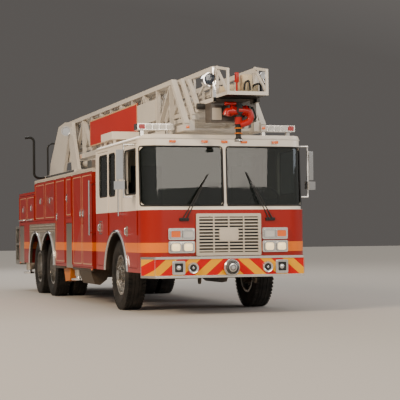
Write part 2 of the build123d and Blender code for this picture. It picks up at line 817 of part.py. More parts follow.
# Cab doors, with the mirrors on the front pair
for row in cab_door_rows:
    name, front, rear, window_front, window_rear, window_low, window_high = row
    with BuildPart() as door:
        with BuildSketch(beside((cab_half_width - cab_door_wall))):
            cab_door_outline(row, 0)
            window_outline(window_front, window_rear, window_low, window_high, mode=Mode.SUBTRACT)
        extrude(amount=cab_door_wall)
        hinge_line(1, cab_half_width, front - door_gap / 2, 1, *cab_hinge_heights, "door")
        if name == "front":
            for z in mirror_arm_heights:
                with BuildSketch(beside(cab_half_width - 5)):
                    with Locations((along(mirror_station), z)):
                        Circle(mirror_tube_radius)
                extrude(amount=mirror_bar_x + 5 - cab_half_width)
            with Locations((mirror_bar_x, along(mirror_station), sum(mirror_arm_heights) / 2)):
                Cylinder(mirror_tube_radius, mirror_arm_heights[1] - mirror_arm_heights[0] + 2 * mirror_tube_radius)
            for width, depth, height, centre_z in mirror_heads:
                with Locations(Location((mirror_head_x, along(mirror_station + 20), centre_z), (0, 0, mirror_turn))):
                    Box(width, depth, height)
    keep_pair(door, f"cab_door_{name}")
    if name == "crew":
        with BuildPart() as pane:
            with BuildSketch(beside((cab_half_width - glass_inset))):
                window_outline(window_front, window_rear, window_low, window_high, inset=seat_gap)
            extrude(amount=-glass_wall)
        keep_pair(pane, "crew_door_glass")


# Front grille: a frame, bars, three uprights and a blank plate
with BuildPart() as grille:
    with BuildSketch(across(cab_front_station)):
        with Locations((0, 1140)):
            RectangleRounded(980, 600, 20)
            Rectangle(980 - 90, 600 - 90, mode=Mode.SUBTRACT)
        with Locations((0, 1140)):
            with GridLocations(0, 46, 1, 11):
                Rectangle(900, 20)
            with GridLocations(225, 0, 3, 1):
                Rectangle(18, 520)
            RectangleRounded(290, 170, 30)
    extrude(amount=36)
keep(grille, "front_grille")


# Lamps: headlamp and signal boxes, roof markers, light bars and tail lamps
with BuildPart() as lamps:
    for side_name, side in sides:
        for centre_z, lens in ((965, "round"), (1150, "square")):
            with BuildSketch(across(cab_front_station)):
                with Locations((side * 705, centre_z)):
                    RectangleRounded(390, 168, 22)
            extrude(amount=34)
            with BuildSketch(across(cab_front_station - 34)):
                for offset in (-92, 92):
                    with Locations((side * 705 + offset, centre_z)):
                        if lens == "round":
                            RectangleRounded(150, 128, 30)
                        else:
                            RectangleRounded(158, 112, 12)
            extrude(amount=12)
        block(side * 660, side * 1215, -1360, -1160, 2665, 2755)
        for foot in (740, 1130):
            block(side * (foot - 25), side * (foot + 25), -1290, -1230, cab_roof_z, 2665)
        for z in (700, 830, 960):
            with BuildSketch(across(tail_rear_station)):
                with Locations((side * 1100, z)):
                    Circle(52)
            extrude(amount=-20)
    for x in (-780, -300, 0, 300, 780):
        block(x - 45, x + 45, screen_top_station - 32, screen_top_station + 20, 2455, 2500)
    add(outer_form, mode=Mode.SUBTRACT)
keep(lamps, "lamps")


# Body compartments on each side: name, front and rear station, bottom, top, hinge end
compartment_rows = (
    ("a1", 1540, 2346, 620, 2200, "front"),
    ("a2", 2354, 3120, 620, 2200, "rear"),
    ("f", 3220, 3700, 1470, 2200, "front"),
    ("b", 3800, 4660, 640, 2200, "front"),
    ("c1", 4720, 5710, 1450, 2200, "front"),
    ("c2", 5780, 6770, 1450, 2200, "rear"),
    ("d1", 6890, 7740, 1450, 1990, "front"),
    ("d2", 7790, 8650, 1450, 1990, "rear"),
)
# Cavities: name, front and rear station, bottom, top
cavity_rows = (
    ("a", 1565, 3100, 645, 2180),
    ("f", 3245, 3675, 1495, 2180),
    ("b", 3825, 4640, 665, 2180),
    ("c1", 4745, 5690, 1475, 2180),
    ("c2", 5800, 6745, 1475, 2180),
    ("d1", 6915, 7720, 1475, 1970),
    ("d2", 7810, 8630, 1475, 1970),
)

# Tank under each side, as distances from the middle and heights; wheel chock, as stations and heights
tank_stations = (1760, 2700)
tank_section = ((1222, 605), (1212, 505), (1150, 335), (1066, 322), (950, 410), (880, 605))
chock_profile = ((3750, 605), (4400, 605), (4210, 315), (3800, 350))
chock_x = (960, 1150)

with BuildPart() as body:
    with BuildSketch(beside(body_inner_x)):
        side_polygon((
            (body_front_station, body_bottom_z),
            (body_front_station, body_high_top_z),
            (body_high_rear_station, body_high_top_z),
            (body_high_rear_station, body_low_top_z),
            (body_rear_station, body_low_top_z),
            (body_rear_station, body_bottom_z),
        ))
    extrude(amount=(body_half_width - body_inner_x))
    outside = (body_half_width + 10)
    for name, front, rear, low, high in cavity_rows:
        block((body_inner_x + body_wall), outside, front, rear, low, high, mode=Mode.SUBTRACT)
    for name, front, rear, low, high, hinge in compartment_rows:
        block(
            (body_half_width - body_door_wall - 4), outside, front - door_gap, rear + door_gap,
            low - door_gap, high + door_gap, mode=Mode.SUBTRACT,
        )
    block(
        (body_inner_x - 10), outside, wheelhouse_front_station, wheelhouse_rear_station,
        body_bottom_z - 10, wheelhouse_top_z, mode=Mode.SUBTRACT,
    )
    for place, station in outrigger_stations:
        half = outrigger_cover_width / 2 + 5
        block(
            (body_inner_x - 10), outside, station - half, station + half, body_bottom_z - 10,
            outrigger_cover_top_z + 10, mode=Mode.SUBTRACT,
        )
    block(
        (body_inner_x + body_wall), (body_half_width - body_wall), wheelhouse_rear_station + body_wall,
        outrigger_stations[1][1] - half - body_wall, body_bottom_z + 30, wheelhouse_top_z - 20, mode=Mode.SUBTRACT,
    )
    with BuildSketch(across(tank_stations[0])):
        Polygon(*tank_section, align=None)
    extrude(amount=tank_stations[0] - tank_stations[1])
    with BuildSketch(beside(chock_x[0])):
        side_polygon(chock_profile)
    extrude(amount=chock_x[1] - chock_x[0])
    for edge_rows in ((body_front_station, body_high_rear_station, body_high_top_z), (body_high_rear_station, body_rear_station, body_low_top_z)):
        front, rear, top = edge_rows
        block(body_half_width - 45, body_half_width + 4, front, rear, top - 6, top + 22)
    with BuildSketch(beside(body_half_width)):
        with Locations((along(sum(side_panel_stations) / 2), sum(side_panel_heights) / 2)):
            width = side_panel_stations[1] - side_panel_stations[0]
            height = side_panel_heights[1] - side_panel_heights[0]
            Rectangle(width, height)
            Rectangle(width - 12, height - 12, mode=Mode.SUBTRACT)
    extrude(amount=-6, mode=Mode.SUBTRACT)
    with Locations((grab_rail_x, along(body_front_station - 12), sum(body_grab_heights) / 2)):
        Cylinder(grab_rail_radius, body_grab_heights[1] - body_grab_heights[0])
    for height in (body_grab_heights[0] + 40, body_grab_heights[1] - 40):
        block(body_half_width - 25, grab_rail_x, body_front_station - 20, body_front_station + 4, height - 10, height + 10)
    for name, front, rear, low, high, hinge in compartment_rows:
        pin_station, toward_door = (front - door_gap / 2, 1) if hinge == "front" else (rear + door_gap / 2, -1)
        hinge_line(1, body_half_width, pin_station, toward_door, low + 20, high - 20, "frame")
keep_pair(body, "body")

# Compartment doors: flat slabs with a raised rim inside and a dished handle
for name, front, rear, low, high, hinge in compartment_rows:
    inner_x = body_half_width - body_door_wall
    with BuildPart() as door:
        block(inner_x, body_half_width, front, rear, low, high)
        block((inner_x - 5), (inner_x + 12), front + 60, rear - 60, low + 60, high - 60, mode=Mode.SUBTRACT)
        pin_station, toward_door = (front - door_gap / 2, 1) if hinge == "front" else (rear + door_gap / 2, -1)
        hinge_line(1, body_half_width, pin_station, toward_door, low + 20, high - 20, "door")
        handle_station = rear - 70 if hinge == "front" else front + 70
        handle_z = (low + high) / 2
        with BuildSketch(beside(body_half_width)):
            with Locations((along(handle_station), handle_z)):
                RectangleRounded(70, 150, 20)
        extrude(amount=-14, mode=Mode.SUBTRACT)
        with BuildSketch(beside((body_half_width - 16))):
            with Locations((along(handle_station), handle_z + 20)):
                Rectangle(44, 70)
        extrude(amount=10)
    keep_pair(door, f"door_{name}")


# Body deck, bulkheads, rear wall, step, access rungs, tail columns and the water inlet
with BuildPart() as deck:
    edge = body_inner_x
    tower_front = turntable_station - tower_half_length
    tower_rear = turntable_station + tower_half_length
    block(-edge, edge, body_front_station, tower_front, body_high_top_z - body_wall, body_high_top_z)
    block(-edge, edge, body_front_station, body_front_station + body_wall, rail_top_z + 5, body_high_top_z - body_wall)
    for station in (3000, 4600):
        block(-edge, edge, station, station + body_wall, rail_top_z + 5, body_high_top_z - body_wall)
    block(-edge, edge, tower_rear, body_rear_station, body_low_top_z - body_wall, body_low_top_z)
    block(-edge, edge, body_rear_station - body_wall, body_rear_station, rail_top_z + 5, body_low_top_z - body_wall)
    block(-cab_half_width, cab_half_width, body_rear_station, tail_rear_station, 545, 590)
    slot_half = tow_eye_radius + 6
    slot_station = rail_rear_station - tow_eye_inset
    for side in (-1, 1):
        block(
            side * (tow_plate_inner_x - 6), side * (tow_plate_inner_x + tow_plate_wall + 6),
            slot_station - slot_half, slot_station + slot_half, 540, 595, mode=Mode.SUBTRACT,
        )
        block(side * tail_column_inner_x, side * body_half_width, body_rear_station, tail_rear_station, 590, 1365)
        block(
            side * (tail_column_inner_x + 40), side * (body_half_width + 10), body_rear_station + 60,
            tail_rear_station - 60, 640, 960, mode=Mode.SUBTRACT,
        )
        block(
            side * (tail_column_inner_x + 40), side * (body_half_width + 10), body_rear_station + 60,
            tail_rear_station - 60, 1010, 1310, mode=Mode.SUBTRACT,
        )
    for z in (1010, 1290, 1570, 1850):
        block(330, 620, body_rear_station, body_rear_station + 130, z, z + 30)
    with BuildSketch(across(body_rear_station)):
        with Locations((-300, 1150)):
            Circle(75)
    extrude(amount=-60)
    with BuildSketch(across(body_rear_station + 60)):
        with Locations((-300, 1150)):
            Circle(62)
    extrude(amount=-60)
    box_inner, box_outer = deck_box_x
    block(-box_outer, -box_inner, *deck_box_stations, body_high_top_z + seat_gap, body_high_top_z + deck_box_height)
keep(deck, "body_deck")


# Stainless fender panels with the double arch, and the front arch trims
def fender_arch(grow):
    """The two rear wheel openings, joined below their cusp."""
    first, second = rear_stations
    top = fender_arch_top_z + grow
    radius = fender_arch_radius + grow
    spring = top - radius
    cusp = (along((first + second) / 2), fender_cusp_z + grow)
    diagonal = radius * cos(radians(45))
    middle_run = (second - first) / 2
    drop = top - cusp[1]
    flat_radius = (middle_run**2 + drop**2) / (2 * drop)
    sweep = atan2(middle_run, flat_radius - drop) / 2
    over = (flat_radius * sin(sweep), top - flat_radius * (1 - cos(sweep)))
    with BuildLine() as outline:
        Line((along(first) - radius, body_bottom_z - 60), (along(first) - radius, spring))
        ThreePointArc(
            (along(first) - radius, spring), (along(first) - diagonal, spring + diagonal), (along(first), top)
        )
        ThreePointArc((along(first), top), (along(first) + over[0], over[1]), cusp)
        ThreePointArc(cusp, (along(second) - over[0], over[1]), (along(second), top))
        ThreePointArc(
            (along(second), top), (along(second) + diagonal, spring + diagonal), (along(second) + radius, spring)
        )
        Line((along(second) + radius, spring), (along(second) + radius, body_bottom_z - 60))
        Line((along(second) + radius, body_bottom_z - 60), (along(first) - radius, body_bottom_z - 60))
    make_face(outline.edges())


with BuildPart() as fenders:
    for side in (-1, 1):
        with BuildSketch(beside(side * (body_half_width - fender_wall))):
            side_polygon((
                (wheelhouse_front_station + seat_gap, body_bottom_z),
                (wheelhouse_front_station + seat_gap, wheelhouse_top_z - seat_gap),
                (wheelhouse_rear_station - seat_gap, wheelhouse_top_z - seat_gap),
                (wheelhouse_rear_station - seat_gap, body_bottom_z),
            ))
        extrude(amount=side * fender_wall)
        with BuildSketch(beside(side * (body_half_width - 5))):
            fender_arch(arch_trim_width)
            with Locations((along(6115), body_bottom_z - 100)):
                Rectangle(4000, 200, mode=Mode.SUBTRACT)
        extrude(amount=side * (5 + arch_trim_height))
        with BuildSketch(beside(side * (body_half_width - fender_wall - 5))):
            fender_arch(0)
        extrude(amount=side * (fender_wall + arch_trim_height + 10), mode=Mode.SUBTRACT)
        with BuildSketch(beside(side * (cab_half_width + seat_gap))):
            with Locations((along(arch_station), arch_centre_z)):
                Circle(arch_radius + arch_trim_width)
                Circle(arch_radius, mode=Mode.SUBTRACT)
            with Locations((along(arch_station), cab_bottom_z - 500)):
                Rectangle(2000, 1000, mode=Mode.SUBTRACT)
        extrude(amount=side * arch_trim_height)
keep(fenders, "fender_panels")


# Handrails at the turntable's rear corners: each post bends outwards at its top
with BuildPart() as handrails:
    with BuildLine() as rail_path:
        FilletPolyline(
            (turntable_half_width, along(handrail_station), handrail_foot_z),
            (handrail_x, along(handrail_station), handrail_foot_z),
            (handrail_x, along(handrail_station), handrail_top_z),
            (handrail_x + handrail_hook, along(handrail_station), handrail_top_z - 25),
            radius=95,
        )
    with BuildSketch(Plane(origin=rail_path.line @ 0, z_dir=rail_path.line % 0)):
        Circle(handrail_radius)
    sweep(path=rail_path.line)
    mirror(about=Plane.YZ)
keep(handrails, "handrails")


# Outriggers: each beam carries its jack tube and polished cover; each leg slides in its tube
for place, station in outrigger_stations:
    for side_name, side in sides:
        beam_station = station + side * outrigger_beam_offset
        with BuildPart() as beam:
            block(
                side * (jack_x - 10), -side * outrigger_beam_inner_x,
                beam_station - outrigger_beam_width / 2, beam_station + outrigger_beam_width / 2,
                outrigger_beam_z - outrigger_beam_height / 2, outrigger_beam_z + outrigger_beam_height / 2,
            )
            with Locations((side * jack_x, along(beam_station), (jack_tube_bottom_z + jack_tube_top_z) / 2)):
                Cylinder(jack_tube_radius, jack_tube_top_z - jack_tube_bottom_z)
            block(
                side * (jack_x + 20), side * (cab_half_width - outrigger_cover_wall), beam_station - 30, beam_station + 30,
                700, outrigger_cover_top_z - 60,
            )
            block(
                side * (cab_half_width - outrigger_cover_wall), side * cab_half_width,
                station - outrigger_cover_width / 2, station + outrigger_cover_width / 2,
                outrigger_cover_bottom_z, outrigger_cover_top_z,
            )
            with Locations((side * jack_x, along(beam_station), (jack_tube_bottom_z + jack_tube_top_z) / 2 - 20)):
                Cylinder(jack_leg_radius + pin_clear, jack_tube_top_z - jack_tube_bottom_z, mode=Mode.SUBTRACT)
        keep(beam, f"outrigger_{place}_{side_name}")
        with BuildPart() as leg:
            leg_bottom = jack_foot_bottom_z + jack_foot_height
            leg_top = jack_tube_top_z - 40
            with Locations((side * jack_x, along(beam_station), (leg_bottom + leg_top) / 2)):
                Cylinder(jack_leg_radius, leg_top - leg_bottom)
            with Locations((side * jack_x, along(beam_station), jack_foot_bottom_z + jack_foot_height / 2)):
                Cylinder(jack_foot_radius, jack_foot_height)
        keep(leg, f"jack_leg_{place}_{side_name}")


# Turntable: ring, deck, two pedestal frames, pivot pins, cylinder brackets and guard rail
with BuildPart() as turntable:
    with BuildSketch(Plane.XY.offset(ring_top_z + seat_gap)):
        with Locations((0, along(turntable_station))):
            Circle(ring_radius)
    extrude(amount=turntable_deck_bottom_z - ring_top_z)
    with BuildSketch(Plane.XY.offset(turntable_deck_bottom_z)):
        with Locations((0, along((turntable_front_station + turntable_rear_station) / 2))):
            RectangleRounded(2 * turntable_half_width, turntable_rear_station - turntable_front_station, turntable_corner_radius)
    extrude(amount=turntable_deck_top_z - turntable_deck_bottom_z)
    for side in (-1, 1):
        with BuildSketch(beside(side * pedestal_inner_x)):
            side_polygon([(turntable_station + behind, z) for behind, z in pedestal_outline])
        extrude(amount=side * pedestal_width)
        with BuildSketch(beside(side * (body_inner_x - 45 - 5))):
            with Locations((along(turntable_station), pivot_z)):
                Circle(pivot_pin_radius)
        extrude(amount=side * 100)
        for x in (cylinder_x - eye_width / 2 - 25, cylinder_x + eye_width / 2 + 5):
            with BuildSketch(beside(side * x)):
                with Locations((along(barrel_pin_station), barrel_pin_z)):
                    Circle(52)
                with Locations((along(barrel_pin_station), (barrel_pin_z + turntable_deck_top_z) / 2)):
                    Rectangle(104, barrel_pin_z - turntable_deck_top_z + 5)
            extrude(amount=side * 20)
        with BuildSketch(beside(side * (cylinder_x - eye_width / 2 - 20))):
            with Locations((along(barrel_pin_station), barrel_pin_z)):
                Circle(cylinder_pin_radius)
        extrude(amount=side * (eye_width + 40))
    with BuildLine() as guard_path:
        FilletPolyline(
            (-guard_x, along(guard_station), turntable_deck_top_z - 5),
            (-guard_x, along(guard_station), guard_top_z),
            (guard_x, along(guard_station), guard_top_z),
            (guard_x, along(guard_station), turntable_deck_top_z - 5),
            radius=110,
        )
    with BuildSketch(Plane(origin=guard_path.line @ 0, z_dir=guard_path.line % 0)):
        Circle(guard_radius)
    sweep(path=guard_path.line)
keep(turntable, "turntable")


# Lift cylinders: barrels on the turntable, rods that slide in them
def cylinder_frame(side, distance):
    """The plane across a lift cylinder at a distance from its barrel's pin."""
    run = rod_pin_station - barrel_pin_station
    rise = rod_pin_z - barrel_pin_z
    length = hypot(run, rise)
    direction = (0, run / length, rise / length)
    origin = (
        side * cylinder_x,
        along(barrel_pin_station) + direction[1] * distance,
        barrel_pin_z + direction[2] * distance,
    )
    return Plane(origin=origin, x_dir=(1, 0, 0), z_dir=direction)


cylinder_length = hypot(rod_pin_station - barrel_pin_station, rod_pin_z - barrel_pin_z)
barrel_length = cylinder_length - 190
with BuildPart() as barrels:
    for side in (-1, 1):
        with BuildSketch(beside(side * (cylinder_x - eye_width / 2))):
            with Locations((along(barrel_pin_station), barrel_pin_z)):
                Circle(eye_radius)
        extrude(amount=side * eye_width)
        with BuildSketch(cylinder_frame(side, 40)):
            Circle(eye_width / 2)
        extrude(amount=90)
        with BuildSketch(cylinder_frame(side, 120)):
            Circle(barrel_radius)
        extrude(amount=barrel_length - 120)
        with BuildSketch(cylinder_frame(side, 150)):
            Circle(rod_radius + pin_clear)
        extrude(amount=barrel_length, mode=Mode.SUBTRACT)
        with BuildSketch(beside(side * (cylinder_x - eye_width))):
            with Locations((along(barrel_pin_station), barrel_pin_z)):
                Circle(cylinder_pin_radius + pin_clear)
        extrude(amount=side * 2 * eye_width, mode=Mode.SUBTRACT)
keep(barrels, "lift_barrels")

with BuildPart() as rods:
    for side in (-1, 1):
        with BuildSketch(cylinder_frame(side, 180)):
            Circle(rod_radius)
        extrude(amount=cylinder_length - 180 - 20)
        with BuildSketch(beside(side * (cylinder_x - eye_width / 2))):
            with Locations((along(rod_pin_station), rod_pin_z)):
                Circle(eye_radius)
        extrude(amount=side * eye_width)
        with BuildSketch(beside(side * (cylinder_x - eye_width))):
            with Locations((along(rod_pin_station), rod_pin_z)):
                Circle(cylinder_pin_radius)
        extrude(amount=side * 2 * eye_width, mode=Mode.SUBTRACT)
keep(rods, "lift_rods")


# Ladder sections: two truss sides, rungs, and pads under the next section
def ladder_section(row, child):
    """One section of the ladder; its child rests on pads between its sides."""
    outer, rail, low, high = row["outer_x"], row["rail"], row["bottom_z"], row["top_z"]
    front_top, front_bottom, rear = row["front_top"], row["front_bottom"], row["rear"]
    bottom_rail = base_rail_height if row["name"] == "ladder_base" else inner_rail_height
    web_low, web_high = low + bottom_rail - 10, high - top_rail_height + 10
    web_height = web_high - web_low
    first_post = front_top + 120
    step = (rear - 300 - first_post) / truss_bays
    lean = degrees(atan2(web_height, step))
    inside = outer - rail
    with BuildPart() as truss:
        with BuildSketch(beside(inside)):
            member((front_bottom, low + bottom_rail / 2), (rear, low + bottom_rail / 2), bottom_rail)
            member((front_top, high - top_rail_height / 2), (rear - 150, high - top_rail_height / 2), top_rail_height)
            member((front_bottom + 40, low + bottom_rail - 5), (front_top + 30, high - 20), 70)
        extrude(amount=rail)
        with BuildSketch(beside(inside + web_inset)):
            posts = [(along(first_post + bay * step), (web_low + web_high) / 2) for bay in range(truss_bays + 1)]
            with Locations(*posts):
                Rectangle(40, web_height)
            for first_bay, turn in ((0, -lean), (1, lean)):
                spots = [
                    Location((along(first_post + (bay + 0.5) * step), (web_low + web_high) / 2), turn)
                    for bay in range(first_bay, truss_bays, 2)
                ]
                with Locations(*spots):
                    Rectangle(hypot(step, web_height), 30)
        extrude(amount=rail - 2 * web_inset)
        mirror(about=Plane.YZ)
        rung_z = low + 18 + rung_size / 2
        count = int((rear - front_bottom - 400) / rung_pitch)
        with Locations(*[(0, along(front_bottom + 200 + rung * rung_pitch), rung_z) for rung in range(count)]):
            Box(2 * inside + 10, rung_size, rung_size)
        if child:
            seat_z = child["bottom_z"] - seat_gap
            pad_inner = child["outer_x"] - child["rail"]
            centre_x = (pad_inner + inside + 5) / 2
            spots = [
                (side * centre_x, along(station + 60), (low + 5 + seat_z) / 2)
                for side in (-1, 1) for station in (front_bottom + 60, 1400)
            ]
            with Locations(*spots):
                Box(inside + 5 - pad_inner, 120, seat_z - low - 5)
    return truss.part


for index, row in enumerate(sections):
    child = sections[index + 1] if index + 1 < len(sections) else None
    truss_part = ladder_section(row, child)
    with BuildPart() as section:
        add(truss_part)
        if row["name"] == "ladder_base":
            for side in (-1, 1):
                with BuildSketch(beside(side * (row["outer_x"] - 45))):
                    rear = row["rear"]
                    side_polygon((
                        (rear - 700, row["bottom_z"] + 10), (rear - 450, row["top_z"] - 10), (rear - 150, row["top_z"] - 10),
                        (rear, row["bottom_z"] + 300), (rear, row["bottom_z"] + 10),
                    ))
                extrude(amount=side * 45)
                with BuildSketch(beside(side * (row["outer_x"] - row["rail"] - 10))):
                    with Locations((along(turntable_station), pivot_z)):
                        Circle(pivot_pin_radius + pin_clear)
                extrude(amount=side * (row["rail"] + 20), mode=Mode.SUBTRACT)
                with BuildSketch(beside(side * (cylinder_x + barrel_radius + 5))):
                    side_polygon((
                        (rod_pin_station - 160, row["bottom_z"] + 10), (rod_pin_station + 160, row["bottom_z"] + 10),
                        (rod_pin_station + 45, rod_pin_z - 60), (rod_pin_station - 45, rod_pin_z - 60),
                    ))
                extrude(amount=side * 30)
                with BuildSketch(beside(side * (row["outer_x"] - 14))):
                    side_polygon(((-200, 2900), (-200, 3230), (3310, 3230), (3310, 2900)))
                extrude(amount=side * 22)
        if row["name"] == "ladder_fly":
            for side in (-1, 1):
                with BuildSketch(beside(side * (tip_guard_x - tip_guard_tube))):
                    post = -tip_reach + tip_guard_tube / 2
                    member((tip_guard_station, tip_floor_z), (tip_guard_station, 3500), tip_guard_tube)
                    member((tip_guard_station, 3480), (post, 3400), tip_guard_tube)
                    member((post, tip_floor_z - 20), (post, 3410), tip_guard_tube)
                    member((tip_guard_station, 3470), (post + 23, tip_floor_z), tip_guard_tube - 8)
                extrude(amount=side * tip_guard_tube)
            block(-tip_guard_x, tip_guard_x, -tip_reach, -2150, tip_floor_z - tip_floor_wall, tip_floor_z)
            block(
                -tip_head_half_width, tip_head_half_width, tip_head_front_station, tip_head_rear_station,
                tip_head_bottom_z, tip_floor_z - 20,
            )
            for side in (-1, 1):
                block(
                    side * 140, side * 170, tip_head_front_station + 5, monitor_station - 60,
                    monitor_z - 70, monitor_z + 70,
                )
            with BuildSketch(beside(-170)):
                with Locations((along(monitor_station), monitor_z)):
                    Circle(monitor_pin_radius)
            extrude(amount=340)
            with BuildSketch(across(spotlight_station)):
                with Locations((-spotlight_x, spotlight_z)):
                    Circle(spotlight_radius)
            extrude(amount=120)
            block(-spotlight_x, -tip_guard_x, spotlight_station - 40, spotlight_station - 10, spotlight_z - 15, spotlight_z + 15)
    keep(section, row["name"])


# Monitor: a cross barrel with end flanges on its pin, an elbow and a nozzle that hangs down
with BuildPart() as monitor:
    for radius, half_width in ((monitor_barrel_radius, 135), (monitor_barrel_radius + 14, 118)):
        with BuildSketch(beside(-half_width)):
            with Locations((along(monitor_station), monitor_z)):
                Circle(radius)
                if radius > monitor_barrel_radius:
                    Circle(monitor_barrel_radius - 5, mode=Mode.SUBTRACT)
        extrude(amount=2 * half_width if radius == monitor_barrel_radius else 24)
    with BuildSketch(beside(94)):
        with Locations((along(monitor_station), monitor_z)):
            Circle(monitor_barrel_radius + 14)
            Circle(monitor_barrel_radius - 5, mode=Mode.SUBTRACT)
    extrude(amount=24)
    with BuildSketch(Plane.YZ):
        with BuildLine():
            centre = along(monitor_station)
            top, foot = monitor_z, monitor_z - monitor_drop
            Polyline(
                (centre, top), (centre + 52, top), (centre + 52, foot + 240), (centre + 44, foot + 225),
                (centre + 36, foot + 60), (centre + 58, foot + 30), (centre + 58, foot), (centre, foot), close=True,
            )
        make_face()
    revolve(axis=Axis((0, along(monitor_station), 0), (0, 0, 1)))
    with BuildSketch(beside(-200)):
        with Locations((along(monitor_station), monitor_z)):
            Circle(monitor_pin_radius + pin_clear)
    extrude(amount=400, mode=Mode.SUBTRACT)
keep(monitor, "monitor")
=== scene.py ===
"""Looks of an aerial ladder fire engine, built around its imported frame. Lengths are metres."""

import json
import logging
from dataclasses import dataclass, field
from enum import Enum
from math import asin, cos, hypot, pi, radians, sin
from typing import Callable, Sequence

import bmesh
import bpy
from mathutils import Matrix, Vector


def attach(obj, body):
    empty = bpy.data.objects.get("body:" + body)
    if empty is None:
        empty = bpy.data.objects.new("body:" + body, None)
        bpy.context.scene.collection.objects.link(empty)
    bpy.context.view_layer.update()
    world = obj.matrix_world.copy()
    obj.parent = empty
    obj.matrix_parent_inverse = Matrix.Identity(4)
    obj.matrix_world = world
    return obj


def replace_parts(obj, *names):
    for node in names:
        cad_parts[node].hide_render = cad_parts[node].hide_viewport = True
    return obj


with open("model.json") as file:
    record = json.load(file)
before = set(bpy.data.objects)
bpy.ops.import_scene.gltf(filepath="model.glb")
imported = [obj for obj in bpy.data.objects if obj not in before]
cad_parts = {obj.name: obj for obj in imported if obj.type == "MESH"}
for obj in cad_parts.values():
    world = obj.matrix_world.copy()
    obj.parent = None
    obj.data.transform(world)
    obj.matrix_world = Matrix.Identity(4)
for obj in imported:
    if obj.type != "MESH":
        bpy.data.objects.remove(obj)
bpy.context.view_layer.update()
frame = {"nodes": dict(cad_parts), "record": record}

log = logging.getLogger("fire_engine")

FRONT_AXLE_Y = -3.24
SKIN_X = 1.24  # the cab's and body's skin, from the vehicle's middle
AHEAD = (0, -1, 0)  # the way the vehicle faces
Point = Sequence[float]
BMVert, BMFace = bmesh.types.BMVert, bmesh.types.BMFace
Tree, Node, Socket = bpy.types.NodeTree, bpy.types.Node, bpy.types.NodeSocket


def at(station: float) -> float:
    """Y of a station, which is a distance behind the front axle."""
    return FRONT_AXLE_Y + station


def spot(x: float, station: float, z: float) -> Vector:
    """A place by its distance from the vehicle's middle, its station and its height."""
    return Vector((x, at(station), z))


def per_mm(size: float) -> float:
    """Texture scale on Object coordinates for a feature of that many millimetres."""
    return 1000.0 / size


def linear(code: str, share: float = 1.0) -> tuple[float, float, float, float]:
    """Turns an sRGB hex value into a linear colour.

    Args:
        code: six hex digits.
        share: what is left of the colour, where it is darkened.

    Returns:
        Linear red, green and blue, and an alpha of 1.
    """
    parts = [int(code[i:i + 2], 16) / 255 for i in (0, 2, 4)]
    out = [share * (v / 12.92 if v <= 0.04045 else ((v + 0.055) / 1.055) ** 2.4) for v in parts]
    return out[0], out[1], out[2], 1.0


def add_node(tree: Tree, kind: str, settings: dict | None = None, links: dict | None = None) -> Node:
    """Adds a shader node.

    Args:
        tree: the material's node tree.
        kind: the node's type name, without what all of them start with.
        settings: values for its properties, or for its input sockets by name or index.
        links: sockets to link into its inputs, by name or index.

    Returns:
        The new node.
    """
    node = tree.nodes.new(f"ShaderNode{kind}")
    for key, value in (settings or {}).items():
        if isinstance(key, int) or key in node.inputs:
            node.inputs[key].default_value = value
        else:
            setattr(node, key, value)
    for key, socket in (links or {}).items():
        tree.links.new(socket, node.inputs[key])
    return node


@dataclass(frozen=True)
class Finish:
    """A surface finish: a base colour and gloss, with a pattern that a subclass adds."""

    name: str
    color: str
    roughness: float = 0.4
    metallic: float = 0.0
    spread: float = 0.08

    def build(self) -> bpy.types.Material:
        """Makes the material once, and gives it again after that.

        Returns:
            The material.
        """
        made = bpy.data.materials.get(self.name)
        if made:
            return made
        made = bpy.data.materials.new(self.name)
        made.use_nodes = True
        tree = made.node_tree
        tree.nodes.clear()
        shader = add_node(tree, "BsdfPrincipled", {
            "Base Color": linear(self.color), "Roughness": self.roughness, "Metallic": self.metallic,
        })
        add_node(tree, "OutputMaterial", links={"Surface": shader.outputs[0]})
        self.shade(tree, shader, add_node(tree, "TexCoord").outputs["Object"])
        return made

    def shade(self, tree: Tree, shader: Node, place: Socket) -> None:
        """Adds the finish's pattern.

        Args:
            tree: the material's node tree.
            shader: its principled shader.
            place: the Object coordinates.
        """
        self.vary_roughness(tree, shader, self.noise(tree, place, 90.0, 3.0))

    def noise(self, tree: Tree, place: Socket, size: float, detail: float) -> Socket:
        """An uneven pattern with features of that many millimetres."""
        scale = {"Scale": per_mm(size), "Detail": detail}
        return add_node(tree, "TexNoise", scale, {"Vector": place}).outputs[0]

    def vary_roughness(self, tree: Tree, shader: Node, pattern: Socket) -> None:
        """Spreads the roughness about its value by a pattern."""
        ramp = add_node(tree, "MapRange", {
            "To Min": max(0.02, self.roughness - self.spread), "To Max": self.roughness + self.spread,
        }, {"Value": pattern})
        tree.links.new(ramp.outputs[0], shader.inputs["Roughness"])

    def two_tone(self, tree: Tree, pattern: Socket, share: float) -> Socket:
        """The base colour, which falls to a share of itself where a pattern is high."""
        tone = {"data_type": "RGBA", 6: linear(self.color), 7: linear(self.color, share)}
        return add_node(tree, "Mix", tone, {0: pattern}).outputs[2]

    def add_bump(self, tree: Tree, shader: Node, height: Socket, strength: float, depth: float) -> None:
        """Lifts the surface by a height pattern, with its depth in metres."""
        bump = add_node(tree, "Bump", {"Strength": strength, "Distance": depth}, {"Height": height})
        tree.links.new(bump.outputs[0], shader.inputs["Normal"])


